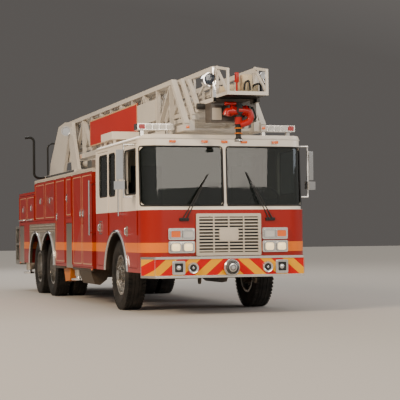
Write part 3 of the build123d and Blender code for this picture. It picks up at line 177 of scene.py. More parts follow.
@dataclass(frozen=True)
class Paint(Finish):
    """Sprayed two-pack enamel: deep gloss under a clear coat, orange peel, and road dust low down.

    Bands are (lowest Z, highest Z, hex) and lie over the base colour.
    """

    coat: float = 0.2
    specular: float = 0.3
    dust: float = 0.16
    dust_color: str = "6b5a48"
    bands: tuple[tuple[float, float, str], ...] = ()

    def shade(self, tree: Tree, shader: Node, place: Socket) -> None:
        """Adds colour bands, uneven dust and the spray's orange peel."""
        shader.inputs["Coat Weight"].default_value = self.coat
        shader.inputs["Coat Roughness"].default_value = 0.04
        shader.inputs["Specular IOR Level"].default_value = self.specular
        height = add_node(tree, "SeparateXYZ", links={0: place}).outputs["Z"]
        mixed = self.two_tone(tree, self.noise(tree, place, 700, 4.0), 0.82)
        for low, high, code in self.bands:
            above = add_node(tree, "Math", {"operation": "GREATER_THAN", 1: low}, {0: height})
            below = add_node(tree, "Math", {"operation": "LESS_THAN", 1: high}, {0: height})
            both = {0: above.outputs[0], 1: below.outputs[0]}
            inside = add_node(tree, "Math", {"operation": "MULTIPLY"}, both).outputs[0]
            band = {"data_type": "RGBA", 7: linear(code)}
            mixed = add_node(tree, "Mix", band, {0: inside, 6: mixed}).outputs[2]
        reach = {"From Min": 1.3, "From Max": 0.45, "To Min": 0.0, "To Max": self.dust}
        fall = add_node(tree, "MapRange", reach, {"Value": height}).outputs[0]
        speck = {"Scale": per_mm(60), "Detail": 6.0, "Roughness": 0.7}
        grit = add_node(tree, "TexNoise", speck, {"Vector": place})
        share = {0: fall, 1: grit.outputs[0]}
        film = add_node(tree, "Math", {"operation": "MULTIPLY", "use_clamp": True}, share).outputs[0]
        dusty = add_node(tree, "Mix", {"data_type": "RGBA", 7: linear(self.dust_color)}, {0: film, 6: mixed})
        tree.links.new(dusty.outputs[2], shader.inputs["Base Color"])
        dulled = {"To Min": self.roughness, "To Max": self.roughness + 0.35}
        rough = add_node(tree, "MapRange", dulled, {"Value": film})
        tree.links.new(rough.outputs[0], shader.inputs["Roughness"])
        self.add_bump(tree, shader, self.noise(tree, place, 9, 1.0), 0.05, 0.0004)


@dataclass(frozen=True)
class Metal(Finish):
    """Bare metal, polished or brushed: grain runs along Y where a grain size is given."""

    grain: float = 0.0
    lift: float = 0.06

    def shade(self, tree: Tree, shader: Node, place: Socket) -> None:
        """Adds brushing lines, or a faint ripple on a polished face, and handling marks."""
        if self.grain:
            stretch = [per_mm(self.grain), per_mm(self.grain) / 60.0, per_mm(self.grain)]
            lines = add_node(tree, "Mapping", {"Scale": stretch}, {"Vector": place}).outputs[0]
            relief = add_node(tree, "TexNoise", {"Scale": 1.0, "Detail": 2.0}, {"Vector": lines}).outputs[0]
        else:
            relief = self.noise(tree, place, 140, 2.0)
        self.add_bump(tree, shader, relief, self.lift, 0.001)
        smudge = self.noise(tree, place, 220, 5.0)
        tree.links.new(self.two_tone(tree, smudge, 0.72), shader.inputs["Base Color"])
        self.vary_roughness(tree, shader, smudge)


@dataclass(frozen=True)
class TreadPlate(Finish):
    """Aluminium tread plate: raised bars that alternate at 45 degrees, drawn at twice their real pitch."""

    pitch: float = 60.0

    def shade(self, tree: Tree, shader: Node, place: Socket) -> None:
        """Adds two crossed sets of bars, picked in turn by a checker."""
        squares = {"Scale": per_mm(self.pitch), 1: (0, 0, 0, 1), 2: (1, 1, 1, 1)}
        check = add_node(tree, "TexChecker", squares, {"Vector": place})
        waves = []
        for turn in (radians(45), radians(-45)):
            turned = add_node(tree, "Mapping", {"Rotation": (turn, turn, turn)}, {"Vector": place}).outputs[0]
            wave = add_node(tree, "TexWave", {"Scale": per_mm(self.pitch) / 3.2}, {"Vector": turned})
            waves.append(wave.outputs[1])
        bars = add_node(tree, "Mix", {"data_type": "FLOAT"}, {0: check.outputs[1], 2: waves[0], 3: waves[1]})
        raised = add_node(tree, "MapRange", {"From Min": 0.6, "From Max": 0.85}, {"Value": bars.outputs[0]})
        self.add_bump(tree, shader, raised.outputs[0], 0.7, 0.004)
        self.vary_roughness(tree, shader, self.noise(tree, place, 200.0, 3.0))


@dataclass(frozen=True)
class Rubber(Finish):
    """Moulded black rubber: matt, dusty in patches, with a fine mould grain."""

    dust: float = 0.3

    def shade(self, tree: Tree, shader: Node, place: Socket) -> None:
        """Adds patches of road dust and the mould's grain."""
        spots = {"Value": self.noise(tree, place, 160, 6.0)}
        reach = {"From Min": 0.4, "From Max": 0.8, "To Max": self.dust}
        patch = add_node(tree, "MapRange", reach, spots).outputs[0]
        pair = {"data_type": "RGBA", 6: linear(self.color), 7: linear("5a5048")}
        tone = add_node(tree, "Mix", pair, {0: patch})
        tree.links.new(tone.outputs[2], shader.inputs["Base Color"])
        self.add_bump(tree, shader, self.noise(tree, place, 5, 2.0), 0.3, 0.0008)


@dataclass(frozen=True)
class Lens(Finish):
    """Moulded acrylic lens: clear gloss over a colour, with ribs on its back drawn as coarse as they show."""

    ribs: float = 14.0
    glow: float = 0.0

    def shade(self, tree: Tree, shader: Node, place: Socket) -> None:
        """Adds the ribs and the lamp's own light."""
        shader.inputs["Coat Weight"].default_value = 1.0
        shader.inputs["Emission Color"].default_value = linear(self.color)
        shader.inputs["Emission Strength"].default_value = self.glow
        bars = {"Scale": per_mm(self.ribs) / 3.2, "bands_direction": "X"}
        wave = add_node(tree, "TexWave", bars, {"Vector": place}).outputs[1]
        self.add_bump(tree, shader, wave, 0.4, 0.002)
        tree.links.new(self.two_tone(tree, wave, 0.55), shader.inputs["Base Color"])


@dataclass(frozen=True)
class Pane(Finish):
    """Tinted safety glass: clear, with a grey-green tint and a film of dust."""

    clear: float = 0.92

    def shade(self, tree: Tree, shader: Node, place: Socket) -> None:
        """Lets light through, and lays the dust over it."""
        shader.inputs["Transmission Weight"].default_value = self.clear
        shader.inputs["IOR"].default_value = 1.45
        shader.inputs["Specular IOR Level"].default_value = 0.3
        film = {"Value": self.noise(tree, place, 300, 5.0)}
        rough = add_node(tree, "MapRange", {"From Min": 0.45, "To Min": 0.0, "To Max": 0.12}, film)
        tree.links.new(rough.outputs[0], shader.inputs["Roughness"])


@dataclass(frozen=True)
class ChevronSheet(Finish):
    """Retroreflective sheeting: diagonal stripes that peak at the vehicle's middle."""

    second: str = "cc0802"
    stripe: float = 0.34
    tilt: float = 1.15

    def shade(self, tree: Tree, shader: Node, place: Socket) -> None:
        """Adds the stripes and the sheeting's honeycomb cells."""
        axes = add_node(tree, "SeparateXYZ", links={0: place})
        out = add_node(tree, "Math", {"operation": "ABSOLUTE"}, {0: axes.outputs["X"]}).outputs[0]
        rise = add_node(tree, "Math", {"operation": "MULTIPLY", 1: self.tilt}, {0: axes.outputs["Z"]})
        lean = add_node(tree, "Math", {"operation": "ADD"}, {0: out, 1: rise.outputs[0]}).outputs[0]
        count = add_node(tree, "Math", {"operation": "DIVIDE", 1: self.stripe}, {0: lean}).outputs[0]
        part = add_node(tree, "Math", {"operation": "FRACT"}, {0: count}).outputs[0]
        pick = add_node(tree, "Math", {"operation": "GREATER_THAN", 1: 0.5}, {0: part}).outputs[0]
        pair = {"data_type": "RGBA", 6: linear(self.color), 7: linear(self.second)}
        tree.links.new(add_node(tree, "Mix", pair, {0: pick}).outputs[2], shader.inputs["Base Color"])
        shader.inputs["Specular IOR Level"].default_value = 0.2
        cells = add_node(tree, "TexVoronoi", {"Scale": per_mm(6)}, {"Vector": place})
        self.add_bump(tree, shader, cells.outputs[0], 0.15, 0.0006)


RED = "a41602"
WHITE = "f0e6d8"
STRIPE_BANDS = ((0.89, 1.03, "f07818"),)
CAB_PAINT = Paint("cab_enamel_two_tone", RED, 0.3, bands=((1.497, 9.0, WHITE),) + STRIPE_BANDS)
BODY_PAINT = Paint("body_enamel_red", RED, 0.3, bands=((2.195, 9.0, "cfc4b4"),) + STRIPE_BANDS)
DOOR_PAINT = Paint("locker_enamel_red", RED, 0.3, bands=STRIPE_BANDS)
SIGN_RED = Paint("sign_enamel_red", "c42410", 0.4, coat=0.2, dust=0.1)
MONITOR_RED = Paint("monitor_cast_red", "b8160a", 0.35, coat=0.4, dust=0.1)
WHITE_PAINT = Paint("ladder_enamel_white", "dcd5cb", 0.4, coat=0.3)
ROOF_WHITE = Paint("roof_box_enamel_white", "e8e0d4", 0.45, coat=0.3)
GOLD_LEAF = Paint("gold_leaf_line", "e3b98a", 0.35, coat=0.4, dust=0.1)
AMBER_PAINT = Paint("chock_enamel_amber", "d9780a", 0.5, coat=0.2)
FRAME_PAINT = Paint("frame_enamel_black", "14130f", 0.5, coat=0.1, dust=0.8)
# Dark grey of the head box: partly its own grey metal, partly painted shade under the platform.
SHADOW_PAINT = Paint("head_box_enamel_dark", "57504a", 0.5, coat=0.2, dust=0.1)
CHROME = Metal("chrome_plate", "f2f0ee", 0.1, 1.0, spread=0.05, lift=0.03)
POLISHED = Metal("polished_stainless", "e6e2dc", 0.22, 1.0, lift=0.04)
GRILLE_STEEL = Metal("satin_stainless_bars", "d8cbb8", 0.3, 1.0, spread=0.08, lift=0.04)
BRUSHED = Metal("brushed_stainless", "d4c6b4", 0.4, 1.0, grain=3.0)
CAST = Metal("machined_cast_steel", "5b5a58", 0.5, 1.0)
WHEEL_ALLOY = Metal("forged_wheel_alloy", "c4c0ba", 0.28, 1.0)
TREAD = TreadPlate("aluminium_tread_plate", "a8a49c", 0.35, 1.0)
TYRE_RUBBER = Rubber("tyre_rubber_black", "0f0e0d", 0.85)
SEAL_RUBBER = Rubber("seal_rubber_black", "0b0b0b", 0.6, dust=0.1)
# Near-black seats and a dark grey-green glass tint: partly their own colour, partly painted shade inside the
# cab.
VINYL = Rubber("seat_vinyl_dark", "16161a", 0.55, dust=0.1)
GLASS = Pane("tinted_safety_glass", "4c5653", 0.02)
MIRROR_GLASS = Metal("mirror_silvered_glass", "dcdfe2", 0.03, 1.0, spread=0.01, lift=0.0)
AMBER_LENS = Lens("amber_acrylic_lens", "f06a10", 0.15, glow=0.25)
RED_LENS = Lens("red_acrylic_lens", "b01410", 0.15, glow=0.1)
CLEAR_LENS = Lens("clear_acrylic_lens", "e9e6df", 0.12)
HEADLAMP_LENS = Lens("headlamp_glass_lit", "ffe3ad", 0.1, glow=1.2)
BLUE_GLASS = Lens("spotlight_glass_blue", "2e3c4e", 0.08, ribs=30.0)
CREAM_BOX = Paint("box_enamel_cream", "d8c4a0", 0.5, coat=0.2, dust=0.1)
PALE_PLATE = Paint("bare_plate_pale", "c9bfb0", 0.5, coat=0.1, dust=0.1)
CHEVRONS = ChevronSheet("chevron_reflective_sheet", "f2a800", 0.45)


def rounded(width: float, height: float, radius: float, steps: int = 5) -> list[tuple[float, float]]:
    """Corners of a rounded rectangle about the origin.

    Args:
        width: its full width.
        height: its full height.
        radius: its corner radius.
        steps: facets in each corner.

    Returns:
        Pairs of its two coordinates.
    """
    out = []
    for index, (sx, sy) in enumerate(((1, 1), (-1, 1), (-1, -1), (1, -1))):
        for step in range(steps + 1):
            angle = (index + step / steps) * pi / 2
            across, up = sx * (width / 2 - radius), sy * (height / 2 - radius)
            out.append((across + radius * cos(angle), up + radius * sin(angle)))
    return out


def facing_front(centre: Point, *sizes: float) -> list[Vector]:
    """A rounded rectangle of these sizes about a place, upright and square to the vehicle's length."""
    return [Vector(centre) + Vector((u, 0, v)) for u, v in rounded(*sizes)]


def facing_side(centre: Point, *sizes: float) -> list[Vector]:
    """A rounded rectangle of these sizes about a place, upright and along the vehicle's length."""
    return [Vector(centre) + Vector((0, u, v)) for u, v in rounded(*sizes)]


def round_path(points: Sequence[Point], radius: float, steps: int) -> list[Vector]:
    """Rounds the corners of a route.

    Args:
        points: the route's corners.
        radius: bend radius, or 0 for a route that is round already.
        steps: facets along each bend.

    Returns:
        Points along the rounded route.
    """
    route = [Vector(p) for p in points]
    if not radius:
        return route
    out = [route[0]]
    for before, here, after in zip(route, route[1:], route[2:]):
        back, on = (before - here).normalized(), (after - here).normalized()
        half = back.angle(on) / 2
        reach = min((before - here).length, (after - here).length) / 2.05
        setback = min(radius / max(0.05, abs(sin(half) / cos(half))), reach)
        first, last = here + back * setback, here + on * setback
        for step in range(steps + 1):
            share = step / steps
            out.append(first.lerp(here, share).lerp(here.lerp(last, share), share))
    return out + [route[-1]]


@dataclass
class Shape:
    """A mesh in the making: each method adds to it by bmesh operators."""

    bm: bmesh.types.BMesh = field(default_factory=bmesh.new)

    def box(
        self, low: Point, high: Point, edge: float = 0.0, segments: int = 2, turn: Matrix | None = None,
    ) -> list[BMVert]:
        """Adds a box with rounded edges.

        Args:
            low: one corner.
            high: the opposite corner.
            edge: radius of its edges.
            segments: facets across a rounded edge.
            turn: a rotation about its centre.

        Returns:
            The new vertices.
        """
        centre = (Vector(low) + Vector(high)) / 2
        size = [abs(b - a) for a, b in zip(low, high)]
        place = Matrix.Translation(centre) @ (turn or Matrix()) @ Matrix.Diagonal((*size, 1.0))
        made = bmesh.ops.create_cube(self.bm, size=1.0, matrix=place)["verts"]
        if edge:
            edges = list({e for v in made for e in v.link_edges})
            out = bmesh.ops.bevel(
                self.bm, geom=edges, offset=edge, offset_type="OFFSET", segments=segments, profile=0.5,
                affect="EDGES", material=-1, clamp_overlap=True,
            )
            made = list({v for f in out["faces"] for v in f.verts} | {v for v in made if v.is_valid})
        return made

    def rod(
        self, start: Point, end: Point, radius: float, segments: int = 16, end_radius: float | None = None,
    ) -> list[BMVert]:
        """Adds a straight round bar, or a taper where an end radius is given.

        Args:
            start: centre of one end.
            end: centre of the other end.
            radius: radius at the start.
            segments: facets round it.
            end_radius: radius at the end.

        Returns:
            The new vertices.
        """
        run = Vector(end) - Vector(start)
        turn = run.to_track_quat("Z", "Y").to_matrix().to_4x4()
        return bmesh.ops.create_cone(
            self.bm, cap_ends=True, segments=segments, radius1=radius,
            radius2=radius if end_radius is None else end_radius, depth=run.length,
            matrix=Matrix.Translation((Vector(start) + Vector(end)) / 2) @ turn,
        )["verts"]

    def tube(
        self, points: Sequence[Point], radius: float, bend: float = 0.05, segments: int = 12, steps: int = 6,
    ) -> None:
        """Adds a bent tube by drawing a ring along a rounded route.

        Args:
            points: the route's corners.
            radius: the tube's radius.
            bend: its bend radius.
            segments: facets round it.
            steps: facets along each bend.
        """
        route = round_path(points, bend, steps)
        pairs = zip(route[:1] + route, route[1:] + route[-1:])
        ways = [(after - before).normalized() for before, after in pairs]
        turn = ways[0].to_track_quat("Z", "Y").to_matrix()
        verts = bmesh.ops.create_circle(
            self.bm, cap_ends=True, segments=segments, radius=radius,
            matrix=Matrix.Translation(route[0]) @ turn.to_4x4(),
        )["verts"]
        ring = list({e for v in verts for e in v.link_edges})
        for here, old, way in zip(route[1:], ways, ways[1:]):
            new = bmesh.ops.extrude_edge_only(self.bm, edges=ring)["geom"]
            verts = [g for g in new if isinstance(g, BMVert)]
            ring = [g for g in new if isinstance(g, bmesh.types.BMEdge)]
            centre = sum((v.co for v in verts), Vector()) / len(verts)
            swing = old.rotation_difference(way).to_matrix().to_4x4()
            place = Matrix.Translation(here) @ swing @ Matrix.Translation(-centre)
            bmesh.ops.transform(self.bm, matrix=place, verts=verts)
        bmesh.ops.contextual_create(self.bm, geom=ring)

    def lathe(self, profile: Sequence[Point], origin: Point, axis: Point, segments: int = 48) -> None:
        """Turns a profile about an axis.

        Args:
            profile: pairs of distance along the axis and radius.
            origin: the axis's start.
            axis: its direction.
            segments: facets in a full turn.
        """
        way, start = Vector(axis).normalized(), Vector(origin)
        out = way.orthogonal().normalized()
        verts = [self.bm.verts.new(start + way * a + out * r) for a, r in profile]
        edges = [self.bm.edges.new(pair) for pair in zip(verts, verts[1:])]
        bmesh.ops.spin(
            self.bm, geom=verts + edges, cent=start, axis=way, angle=2 * pi, steps=segments, use_merge=True,
        )
        bmesh.ops.remove_doubles(self.bm, verts=self.bm.verts, dist=1e-6)

    def ring_of(self, verts: Sequence[BMVert], centre: Point, count: int) -> None:
        """Repeats a shape evenly round a line across the vehicle.

        Args:
            verts: the shape's vertices.
            centre: a place on the line.
            count: how many there are in all.
        """
        edges = list({e for v in verts for e in v.link_edges})
        faces = list({f for v in verts for f in v.link_faces})
        bmesh.ops.spin(
            self.bm, geom=list(verts) + edges + faces, cent=centre, axis=(1, 0, 0),
            angle=2 * pi * (count - 1) / count, steps=count - 1, use_duplicate=True,
        )

    def push_out(self, faces: Sequence[BMFace], push: Point) -> None:
        """Gives flat faces a thickness."""
        made = bmesh.ops.extrude_face_region(self.bm, geom=faces, use_keep_orig=True)["geom"]
        bmesh.ops.translate(self.bm, vec=Vector(push), verts=[g for g in made if isinstance(g, BMVert)])

    def plate(self, outline: Sequence[Point], push: Point) -> None:
        """Adds a flat plate.

        Args:
            outline: its corners, in order, in one plane.
            push: the way and distance to its other face.
        """
        self.push_out([self.bm.faces.new([self.bm.verts.new(p) for p in outline])], push)

    def rim(self, outer: Sequence[Point], inner: Sequence[Point], push: Point, coat: int = 0) -> None:
        """Adds a flat frame between two outlines.

        Args:
            outer: the outer outline.
            inner: the inner outline, with as many corners.
            push: the way and distance to its other face.
            coat: the number of its finish.
        """
        before, loops = set(self.bm.faces), []
        for outline in (outer, inner):
            verts = [self.bm.verts.new(p) for p in outline]
            loops += [self.bm.edges.new(pair) for pair in zip(verts, verts[1:] + verts[:1])]
        self.push_out(bmesh.ops.bridge_loops(self.bm, edges=loops)["faces"], push)
        for face in set(self.bm.faces) - before:
            face.material_index = coat

    def finish(
        self, name: str, *coats: Finish, body: str = "chassis", smooth: float = 35.0,
    ) -> bpy.types.Object:
        """Makes a piece that rides on a body.

        Args:
            name: the piece's name.
            coats: its finishes; a face picks one by material_index.
            body: the body that carries it.
            smooth: edges flatter than this angle shade smoothly.

        Returns:
            The new object.
        """
        bmesh.ops.recalc_face_normals(self.bm, faces=self.bm.faces)
        mesh = bpy.data.meshes.new(name)
        self.bm.to_mesh(mesh)
        self.bm.free()
        for coat in coats:
            mesh.materials.append(coat.build())
        mesh.polygons.foreach_set("use_smooth", [True] * len(mesh.polygons))
        mesh.set_sharp_from_angle(angle=radians(smooth))
        piece = bpy.data.objects.new(name, mesh)
        bpy.context.scene.collection.objects.link(piece)
        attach(piece, body)
        log.info("made %s with %d faces", name, len(mesh.polygons))
        return piece


NODE_BODY = {node: body for body, nodes in frame["record"]["behaviour"]["bodies"].items() for node in nodes}


def skin_of(
    node: str, coats: Sequence[Finish], pick: Callable[[BMFace], int] | None = None,
    keep: Callable[[Vector], bool] | None = None, edge: float = 0.002,
) -> bpy.types.Object:
    """Makes a merged, smooth-shaded copy of a CAD node.

    Args:
        node: the CAD node.
        coats: its finishes.
        pick: gives a face's finish by number.
        keep: tells whether a vertex stays, where the piece shows only a part of the node.
        edge: radius put on its sharp edges.

    Returns:
        The new piece.
    """
    shape = Shape()
    bm = shape.bm
    bm.from_mesh(frame["nodes"][node].data)
    bmesh.ops.remove_doubles(bm, verts=bm.verts, dist=1e-5)
    if keep:
        bmesh.ops.delete(bm, geom=[v for v in bm.verts if not keep(v.co)], context="VERTS")
    bmesh.ops.dissolve_limit(bm, angle_limit=radians(0.5), verts=bm.verts, edges=bm.edges)
    for face in bm.faces:
        face.material_index = pick(face) if pick else 0
    piece = shape.finish(f"{node}_skin", *coats, body=NODE_BODY[node], smooth=30.0)
    if edge:
        bevel = piece.modifiers.new("edge", "BEVEL")
        bevel.width, bevel.segments, bevel.limit_method = edge, 2, "ANGLE"
        bevel.angle_limit = radians(40)
        bevel.harden_normals = True
    return piece


@dataclass
class Studio:
    """A pale floor, soft lights and a camera where the photograph was taken from."""

    camera_place: Point = (-6.073, -23.273, 1.127)
    yaw: float = 17.23
    pitch: float = 1.52
    roll: float = -0.58
    focal: float = 120.57
    floor_size: float = 90.0
    horizon: str = "6a6663"
    zenith: str = "fffaf2"
    sky_power: float = 0.75
    lamps: tuple[tuple[str, Point, float, float, str], ...] = (
        ("key", (-20, -13, 15), 7.0, 5200.0, "ffe6c4"),
        ("front", (4, -26, 9), 9.0, 1500.0, "fff4e6"),
        ("fill", (20, -8, 9), 10.0, 1000.0, "e4ecf8"),
        ("rear", (-2, 20, 14), 10.0, 1400.0, "f4f2f0"),
    )

    def build(self) -> None:
        """Adds the floor, the softboxes, the sky and the camera."""
        bm = bmesh.new()
        bmesh.ops.create_grid(bm, x_segments=2, y_segments=2, size=self.floor_size)
        mesh = bpy.data.meshes.new("studio_floor")
        bm.to_mesh(mesh)
        bm.free()
        mesh.materials.append(Finish("studio_floor_paper", "b9b4ae", 0.85, spread=0.05).build())
        floor = self.stand("studio_floor", mesh, Matrix())
        for name, place, size, power, tint in self.lamps:
            data = bpy.data.lights.new(name, "AREA")
            data.shape, data.size, data.energy, data.color = "SQUARE", size, power, linear(tint)[:3]
            turn = (Vector((0, 0, 1.5)) - Vector(place)).to_track_quat("-Z", "Y").to_matrix().to_4x4()
            self.stand(name, data, Matrix.Translation(place) @ turn)
        self.add_sky()
        self.add_camera()

    @staticmethod
    def stand(name: str, data: bpy.types.ID, place: Matrix) -> bpy.types.Object:
        """Puts an object into the scene at a place."""
        made = bpy.data.objects.new(name, data)
        made.matrix_world = place
        bpy.context.scene.collection.objects.link(made)
        return made

    def add_sky(self) -> None:
        """A softbox sky: white ahead and overhead for the bright metal to reflect, and darker behind."""
        world = bpy.data.worlds.new("studio_sky")
        world.use_nodes = True
        tree = world.node_tree
        back = tree.nodes["Background"]
        way = add_node(tree, "TexCoord").outputs["Generated"]
        axes = add_node(tree, "SeparateXYZ", links={0: way})
        lean = add_node(tree, "Math", {"operation": "MULTIPLY", 1: -0.7}, {0: axes.outputs["Y"]}).outputs[0]
        rise = add_node(tree, "Math", {"operation": "ADD"}, {0: lean, 1: axes.outputs["Z"]}).outputs[0]
        share = add_node(tree, "MapRange", {"From Min": -0.5, "From Max": 0.7}, {"Value": rise}).outputs[0]
        pair = {"data_type": "RGBA", 6: linear(self.horizon), 7: linear(self.zenith)}
        tree.links.new(add_node(tree, "Mix", pair, {0: share}).outputs[2], back.inputs[0])
        back.inputs[1].default_value = self.sky_power
        bpy.context.scene.world = world

    def add_camera(self) -> None:
        """Places the camera at the photograph's viewpoint."""
        yaw, pitch, roll = radians(self.yaw), radians(self.pitch), radians(self.roll)
        forward = Vector((sin(yaw) * cos(pitch), cos(yaw) * cos(pitch), sin(pitch)))
        right = Vector((cos(yaw), -sin(yaw), 0))
        up = right.cross(forward)
        across = right * cos(roll) + up * sin(roll)
        above = up * cos(roll) - right * sin(roll)
        data = bpy.data.cameras.new("photo_camera")
        data.lens, data.sensor_width, data.clip_end = self.focal, 36.0, 300.0
        turn = Matrix((across, above, -forward)).transposed().to_4x4()
        place = Matrix.Translation(self.camera_place) @ turn
        bpy.context.scene.camera = self.stand("photo_camera", data, place)


@dataclass
class CadSkins:
    """Smooth skins with their finishes over the CAD solids whose forms stay.

    Each pick tells a node's finishes apart by where a face lies: past a distance from the vehicle's middle
    (`_x`), above or below a height (`_z`), or between stations.
    """

    mirror_x: float = 1.262
    rail_x: float = 1.255
    trim_x: float = 1.241
    fender_x: float = 1.22
    plate_x: float = 1.2
    chock_x: float = 0.95
    well_x: float = 1.236
    well: tuple[float, float, float] = (-0.11, 0.465, 0.745)  # station, height and radius
    cab_floor_z: float = 0.602
    body_floor_z: float = 0.598
    chock: tuple[float, float, float] = (3.7, 4.45, 0.3)  # front, rear and underside
    side_plate: tuple[float, float, float] = (3.2, 3.72, 1.45)  # front, rear and top
    guard: tuple[float, float] = (8.2, 2.43)  # front and underside
    spotlight: tuple[tuple[float, float], ...] = ((-9.0, -0.28), (-2.22, -2.08), (3.2, 3.42))
    platform: tuple[float, float] = (-2.14, 3.101)  # rear and top
    head_box: tuple[tuple[float, float], ...] = ((-0.35, 0.35), (-2.4, -1.82), (-9.0, 3.09))
    head_white: tuple[float, float] = (2.999, -1.83)  # white above this height where behind this station; dark grey below and ahead, partly the head box's own grey metal and partly painted shade under the platform
    nozzle_z: float = 2.68
    plain: dict[str, tuple[Finish, float]] = field(default_factory=lambda: {
        "chassis_frame": (FRAME_PAINT, 0.002), "axles": (FRAME_PAINT, 0.002), "engine_block": (CAST, 0.004),
        "front_bumper": (POLISHED, 0.003), "cab_glass": (GLASS, 0.0),
        "cab_interior": (VINYL, 0.01), "front_grille": (GRILLE_STEEL, 0.002), "lamps": (POLISHED, 0.003),
        "body_deck": (TREAD, 0.002), "handrails": (FRAME_PAINT, 0.0), "ladder_base": (WHITE_PAINT, 0.002),
        "ladder_mid": (WHITE_PAINT, 0.002), "ladder_upper": (WHITE_PAINT, 0.002),
        "lift_barrels": (WHITE_PAINT, 0.002), "lift_rods": (CHROME, 0.001),
    })
    starts: tuple[tuple[str, Finish, float], ...] = (
        ("knuckle", FRAME_PAINT, 0.001), ("cab_door", CAB_PAINT, 0.002), ("door_", DOOR_PAINT, 0.002),
        ("crew_door_glass", GLASS, 0.0), ("outrigger", GRILLE_STEEL, 0.002), ("jack_leg", CHROME, 0.002),
    )

    def build(self) -> None:
        """Skins every node but the wheels, which are dressed by themselves."""
        sides = ([BODY_PAINT, FRAME_PAINT, AMBER_PAINT, CHROME], self.body_finish)
        for node in (name for name in frame["nodes"] if not name.startswith("wheel")):
            mixed = sides if node.startswith(("body_r", "body_l")) else self.mixed.get(node)
            if mixed:
                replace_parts(skin_of(node, *mixed), node)
                continue
            finish, edge = self.plain.get(node) or next(
                (coat, width) for start, coat, width in self.starts if node.startswith(start)
            )
            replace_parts(skin_of(node, [finish], edge=edge), node)

    @property
    def mixed(self) -> dict[str, tuple[list[Finish], Callable[[BMFace], int]]]:
        """The nodes that carry more than one finish, each with what picks a face's."""
        return {
            "cab_shell": ([CAB_PAINT, FRAME_PAINT, CHROME], self.cab_finish),
            "cab_door_front_right": ([CAB_PAINT, CHROME], self.door_finish),
            "cab_door_front_left": ([CAB_PAINT, CHROME], self.door_finish),
            "fender_panels": ([BRUSHED, CHROME, FRAME_PAINT], self.fender_finish),
            "turntable": ([WHITE_PAINT, FRAME_PAINT], self.turntable_finish),
            "ladder_fly": ([WHITE_PAINT, SHADOW_PAINT, CHROME, FRAME_PAINT], self.fly_finish),
            "monitor": ([MONITOR_RED, SEAL_RUBBER], self.monitor_finish),
        }

    @staticmethod
    def locate(face: BMFace) -> tuple[float, float, float]:
        """A face's middle, as its distance to a side, its station and its height."""
        middle = face.calc_center_median()
        return middle.x, middle.y - FRONT_AXLE_Y, middle.z

    def is_inside(self, face: BMFace, limits: tuple[tuple[float, float], ...]) -> bool:
        """Whether a face's middle lies between these limits of its place."""
        return all(low < value < high for value, (low, high) in zip(self.locate(face), limits))

    def monitor_finish(self, face: BMFace) -> int:
        """Black rubber on the nozzle."""
        return int(self.locate(face)[2] < self.nozzle_z)

    def door_finish(self, face: BMFace) -> int:
        """Chrome on the mirrors that the front doors carry."""
        return int(abs(self.locate(face)[0]) > self.mirror_x)

    def cab_finish(self, face: BMFace) -> int:
        """Painted shade in the wheel wells, dark paint under the floor, and chrome on the grab rails."""
        x, station, z = self.locate(face)
        if abs(x) > self.rail_x:
            return 2
        centre, height, radius = self.well
        # Faces inside the wheel well take the dark paint as painted shade in the recess.
        in_well = hypot(station - centre, z - height) < radius and abs(x) < self.well_x
        return int(in_well or z < self.cab_floor_z)

    def fender_finish(self, face: BMFace) -> int:
        """Chrome on the raised trims, brushed steel outside and dark paint within."""
        x = abs(self.locate(face)[0])
        if x > self.trim_x:
            return 1
        return 0 if abs(face.normal.x) > 0.5 and x > self.fender_x else 2

    def turntable_finish(self, face: BMFace) -> int:
        """Dark paint on the guard at the deck's rear."""
        _, station, z = self.locate(face)
        return int(station > self.guard[0] and z > self.guard[1])

    def fly_finish(self, face: BMFace) -> int:
        """Dark grey on the fly section's head box, partly its own metal and partly painted shade, a dark finish
        on the platform, and a chrome spotlight.
        """
        _, station, z = self.locate(face)
        if self.is_inside(face, self.spotlight):
            return 2
        if station < self.platform[0] and z < self.platform[1]:
            return 3
        # Below and ahead of the white top, the head box takes dark grey, partly painted shade under the
        # platform.
        dark = z < self.head_white[0] or station < self.head_white[1]
        return int(self.is_inside(face, self.head_box) and dark)

    def body_finish(self, face: BMFace) -> int:
        """Red panels, a dark underside, chrome grab rails and side plates, and an amber chock."""
        x, station, z = self.locate(face)
        if z < self.body_floor_z:
            front, rear, low = self.chock
            return 2 if front < station < rear and z > low and abs(x) > self.chock_x else 1
        front, rear, top = self.side_plate
        plate = front < station < rear and z < top and abs(x) > self.plate_x
        return 3 if abs(x) > self.rail_x or plate else 0


class Side(Enum):
    """The vehicle's two sides, as the sign of X."""

    RIGHT = -1
    LEFT = 1

    @property
    def word(self) -> str:
        """The side's name, as nodes and bodies have it."""
        return self.name.lower()

    def out(self, step: float) -> Vector:
        """A step outward on this side."""
        return Vector((self.value * step, 0, 0))


@dataclass(frozen=True)
class AxleWheels:
    """What the wheels of an axle share, as distances from the vehicle's middle: tyres and disc face."""

    tyre_xs: tuple[float, ...]
    width: float
    disc_x: float


